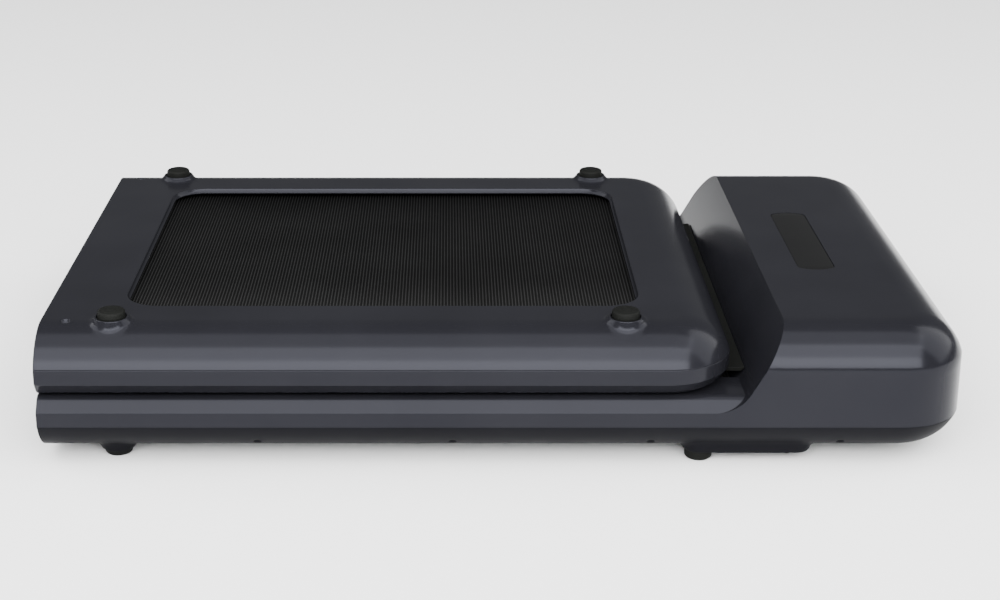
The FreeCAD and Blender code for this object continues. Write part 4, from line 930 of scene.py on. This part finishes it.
def rear_lip():
    """Soft lip along the free end, with a rounded, slanting tip and square ends."""
    root_x, tip_x = span("rear_lip", 0)
    low, high = span("rear_lip", 2)
    half = span("rear_lip", 1)[1]
    section = [(root_x, low + 0.3), (tip_x - 3.6, low + 0.2), (tip_x - 2.6, low + 0.5),
               (tip_x - 0.6, high - 1.4), (tip_x - 0.1, high - 0.6), (tip_x - 0.6, high),
               (tip_x - 2.4, high), (tip_x - 4, high - 0.5),
               (root_x, high - 0.3)]
    surface = Surface()
    places = [-half, -half + 0.6] + spread(-half + 8, half - 8, 20) + [half - 0.6, half]
    rows = []
    for y in places:
        shrink = 0.4 if abs(y) == half else 0.0
        rows.append([(x - shrink, y, z) for x, z in section])
    surface.grid(rows, closed=True)
    surface.fill([rows[0]])
    surface.fill([rows[-1]])
    lip = surface.piece("rear_lip_strip", lambda work: work.calc_volume(signed=True) > 0)
    soften(lip, 0.3, 40)
    finish_piece(lip, REAR_BODY, "rubber")
    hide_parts("rear_lip")


def foot_pads():
    """Domed rubber feet with a rounded shoulder, a step and fine rings."""
    places = [("front_feet", FRONT_BODY, BASE, ((HINGE_FOOT_X, FOOT_Y), (HEAD_FOOT_X, HEAD_FOOT_Y))),
              ("rear_feet", REAR_BODY, REAR, ((HINGE_FOOT_X, FOOT_Y), (REAR_FOOT_X, FOOT_Y)))]
    profile = [(0.01, -11.0), (12.2, -11.0), (12.4, -10.5), (12.4, -2.6), (12.1, -1.7), (11.3, -0.8),
               (9.8, -0.25), (9.4, -0.55), (9.0, -0.55), (8.6, -0.15), (5.0, -0.03), (4.7, -0.25),
               (4.4, -0.25), (4.1, -0.02), (0.01, 0.0)]
    for node, body, tray, spots in places:
        surface = Surface()
        for x, y in spots:
            for _, side in SIDES:
                rows = []
                for reach, height in profile:
                    row = []
                    for number in range(48):
                        angle = 2 * math.pi * number / 48
                        row.append((x + reach * math.cos(angle), side * y + reach * math.sin(angle),
                                    tray.level(-FOOT_HEIGHT - height)))
                    rows.append(row)
                surface.grid(rows, closed=True)
                surface.fill([rows[0]])
                surface.fill([rows[-1]])
        feet = surface.piece(node + "_rubber", lambda work: work.calc_volume(signed=True) > 0)
        finish_piece(feet, body, "rubber")
        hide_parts(node)


# ------------------------------------------------------------------ walking belt

RIB_PITCH = 3.0
RIB_HEIGHT = 0.8
RIB_POINTS = 6
BELT_THICK = 1.6
BELT_HALF = span("rear_belt", 1)[1]


class Track:
    """Side view of a belt: straight and round stretches, with the outside to one hand."""

    def __init__(self, start):
        self.place = start
        self.stretches = []

    def line(self, end):
        self.stretches.append(("line", self.place, end))
        self.place = end
        return self

    def arc(self, centre, degrees):
        self.stretches.append(("arc", self.place, centre, math.radians(degrees)))
        offset = (self.place[0] - centre[0], self.place[1] - centre[1])
        angle = math.radians(degrees)
        self.place = (centre[0] + offset[0] * math.cos(angle) - offset[1] * math.sin(angle),
                      centre[1] + offset[0] * math.sin(angle) + offset[1] * math.cos(angle))
        return self

    def samples(self, pitch):
        """(place, heading) pairs about one pitch apart."""
        result = []
        for stretch in self.stretches:
            if stretch[0] == "line":
                (ax, az), (bx, bz) = stretch[1:]
                length = math.hypot(bx - ax, bz - az)
                count = max(1, round(length / pitch))
                heading = ((bx - ax) / length, (bz - az) / length)
                for number in range(count):
                    share = number / count
                    result.append(((ax + (bx - ax) * share, az + (bz - az) * share), heading))
            else:
                start, centre, turn = stretch[1:]
                ox, oz = start[0] - centre[0], start[1] - centre[1]
                radius = math.hypot(ox, oz)
                count = max(2, round(radius * abs(turn) / pitch))
                sign = 1 if turn > 0 else -1
                for number in range(count):
                    angle = turn * number / count
                    rx = ox * math.cos(angle) - oz * math.sin(angle)
                    rz = ox * math.sin(angle) + oz * math.cos(angle)
                    result.append(((centre[0] + rx, centre[1] + rz),
                                   (-rz / radius * sign, rx / radius * sign)))
        result.append((self.place, result[-1][1]))
        return result


HIGHLIGHT_CREST_SEGMENTS = (2, 3)


def ribbed_belt(name, track, hand, body, node=None):
    """Belt swept across the machine: ribs on the outside, plain inside, and a painted highlight on the rib
    crests.

    The track follows the outside face; hand is +1 if the outside is left of travel.
    """
    outside = []
    inside = []
    for number, ((x, z), (hx, hz)) in enumerate(track.samples(RIB_PITCH / RIB_POINTS)):
        nx, nz = -hz * hand, hx * hand
        wave = 0.5 - 0.5 * math.cos(2 * math.pi * number / RIB_POINTS)
        drop = RIB_HEIGHT * (1 - wave)
        outside.append((x - nx * drop, z - nz * drop))
        inside.append((x - nx * BELT_THICK, z - nz * BELT_THICK))
    loop = outside + list(reversed(inside))
    surface = Surface()
    rows = [[(x, y, z) for x, z in loop] for y in (-BELT_HALF, -BELT_HALF / 3, BELT_HALF / 3, BELT_HALF)]
    surface.grid(rows, closed=True)
    count = len(outside)
    for row in (rows[0], rows[-1]):
        for number in range(count - 1):
            mate = 2 * count - 1 - number
            surface.face((row[number], row[number + 1], row[mate - 1], row[mate]))
    belt = surface.piece(name, lambda work: work.calc_volume(signed=True) > 0)
    finish_piece(belt, body, "belt")
    # Crest faces get the lighter copy of the belt colour: painted highlight on the crests, with painted shade
    # left in the darker grooves.
    belt.data.materials.append(MATERIALS["belt_crest_painted_highlight"])
    for polygon in belt.data.polygons:
        segment = polygon.index % len(loop)
        if segment < count - 1 and segment % RIB_POINTS in HIGHLIGHT_CREST_SEGMENTS:
            polygon.material_index = 1
    if node:
        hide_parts(node)
    return belt


WALK = span("front_belt", 2)[1]
RETURN = span("front_belt", 2)[0]
GUIDE_X = (span("front_guide_roller", 0)[0] + span("front_guide_roller", 0)[1]) / 2
GUIDE_Z = (span("front_guide_roller", 2)[0] + span("front_guide_roller", 2)[1]) / 2
FRONT_ROLLER = ((span("front_roller", 0)[0] + span("front_roller", 0)[1]) / 2, (WALK + RETURN) / 2)
REAR_ROLLER = ((span("rear_roller", 0)[0] + span("rear_roller", 0)[1]) / 2, 2 * FOLD_Z - (WALK + RETURN) / 2)
INNER_FOLD_X = span("belt_inner_fold", 0)[1]


def walking_belt():
    """Runs of the belt on both halves, and the stretches that bend beside the fold."""
    mirror = 2 * FOLD_Z
    front = Track((INNER_FOLD_X, WALK)).line((FRONT_ROLLER[0], WALK)).arc(FRONT_ROLLER, -180)
    front.line((GUIDE_X, RETURN))
    ribbed_belt("front_belt_run", front, 1, FRONT_BODY, "front_belt")
    rear = Track((INNER_FOLD_X, mirror - WALK)).line((REAR_ROLLER[0], mirror - WALK)).arc(REAR_ROLLER, 180)
    rear.line((GUIDE_X, mirror - RETURN))
    ribbed_belt("rear_belt_run", rear, -1, REAR_BODY, "rear_belt")
    outer_node = "belt_outer_fold"
    inner_node = "belt_inner_fold"
    for body, flip in ((FRONT_BODY, False), (REAR_BODY, True)):
        def level(height):
            return mirror - height if flip else height
        turn = 90 if flip else -90
        hand = -1 if flip else 1
        outer = Track((GUIDE_X, level(RETURN))).arc((GUIDE_X, level(GUIDE_Z)), turn)
        outer.line((outer.place[0], FOLD_Z))
        strip = ribbed_belt(body + "_belt_end_wrap", outer, hand, body, outer_node)
        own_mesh(strip)
        inner = Track((INNER_FOLD_X, level(WALK))).arc((INNER_FOLD_X, FOLD_Z), turn)
        strip = ribbed_belt(body + "_belt_fold_loop", inner, -hand, body, inner_node)
        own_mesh(strip)


# ------------------------------------------------------------------ camera, floor and light

CAMERA_PLACE = (-0.0468, -1.7686, 0.7291)
CAMERA_PITCH = math.radians(90 - 18.367)
CAMERA_LENS = 67.285
CAMERA_SHIFT = (0.0518, -0.0725)


def make_camera():
    camera = bpy.data.objects.new("Camera", bpy.data.cameras.new("Camera"))
    bpy.context.scene.collection.objects.link(camera)
    camera.location = CAMERA_PLACE
    camera.rotation_euler = (CAMERA_PITCH, 0, 0)
    camera.data.lens = CAMERA_LENS
    camera.data.sensor_width = 36
    camera.data.shift_x, camera.data.shift_y = CAMERA_SHIFT
    bpy.context.scene.camera = camera


def make_floor():
    half = 8.0
    mesh = bpy.data.meshes.new("floor")
    corners = [(-half, -half, 0), (half, -half, 0), (half, half, 0), (-half, half, 0)]
    mesh.from_pydata(corners, [], [(0, 1, 2, 3)])
    floor = link("floor", mesh)
    material, _, shader = new_material("floor_white")
    shader.inputs["Base Color"].default_value = (0.93, 0.93, 0.93, 1)
    shader.inputs["Roughness"].default_value = 0.9
    floor.data.materials.append(material)


def area_light(name, place, aim, size, power):
    data = bpy.data.lights.new(name, "AREA")
    data.shape = "RECTANGLE"
    data.size, data.size_y = size
    data.energy = power
    lamp = bpy.data.objects.new(name, data)
    bpy.context.scene.collection.objects.link(lamp)
    lamp.location = place
    direction = Vector(aim) - Vector(place)
    lamp.rotation_euler = direction.to_track_quat("-Z", "Y").to_euler()


def make_light():
    world = bpy.data.worlds.new("Studio")
    bpy.context.scene.world = world
    world.use_nodes = True
    background = world.node_tree.nodes["Background"]
    background.inputs["Color"].default_value = (0.95, 0.97, 1.0, 1)
    background.inputs["Strength"].default_value = 0.2
    area_light("left_softbox", (-4.4, 0.4, 3.1), (0, 0, 0), (4.6, 4.0), 240)
    area_light("right_softbox", (4.4, 0.4, 3.1), (0, 0, 0), (5.2, 4.6), 260)
    area_light("front_softbox", (0.1, -3.9, 2.2), (0, 0, 0.1), (6.4, 1.8), 520)
    area_light("front_top_softbox", (0.1, -2.6, 3.6), (0, 0, 0.1), (6.4, 2.0), 340)
    area_light("overhead", (0.0, -0.6, 4.2), (0, 0, 0.1), (6.4, 2.8), 150)


make_camera()
make_floor()
make_light()
dress_cad()
rear_cover()
base_shell()
head_and_rails()
rear_band()
end_walls()
display_window()
rear_lip()
foot_pads()
walking_belt()
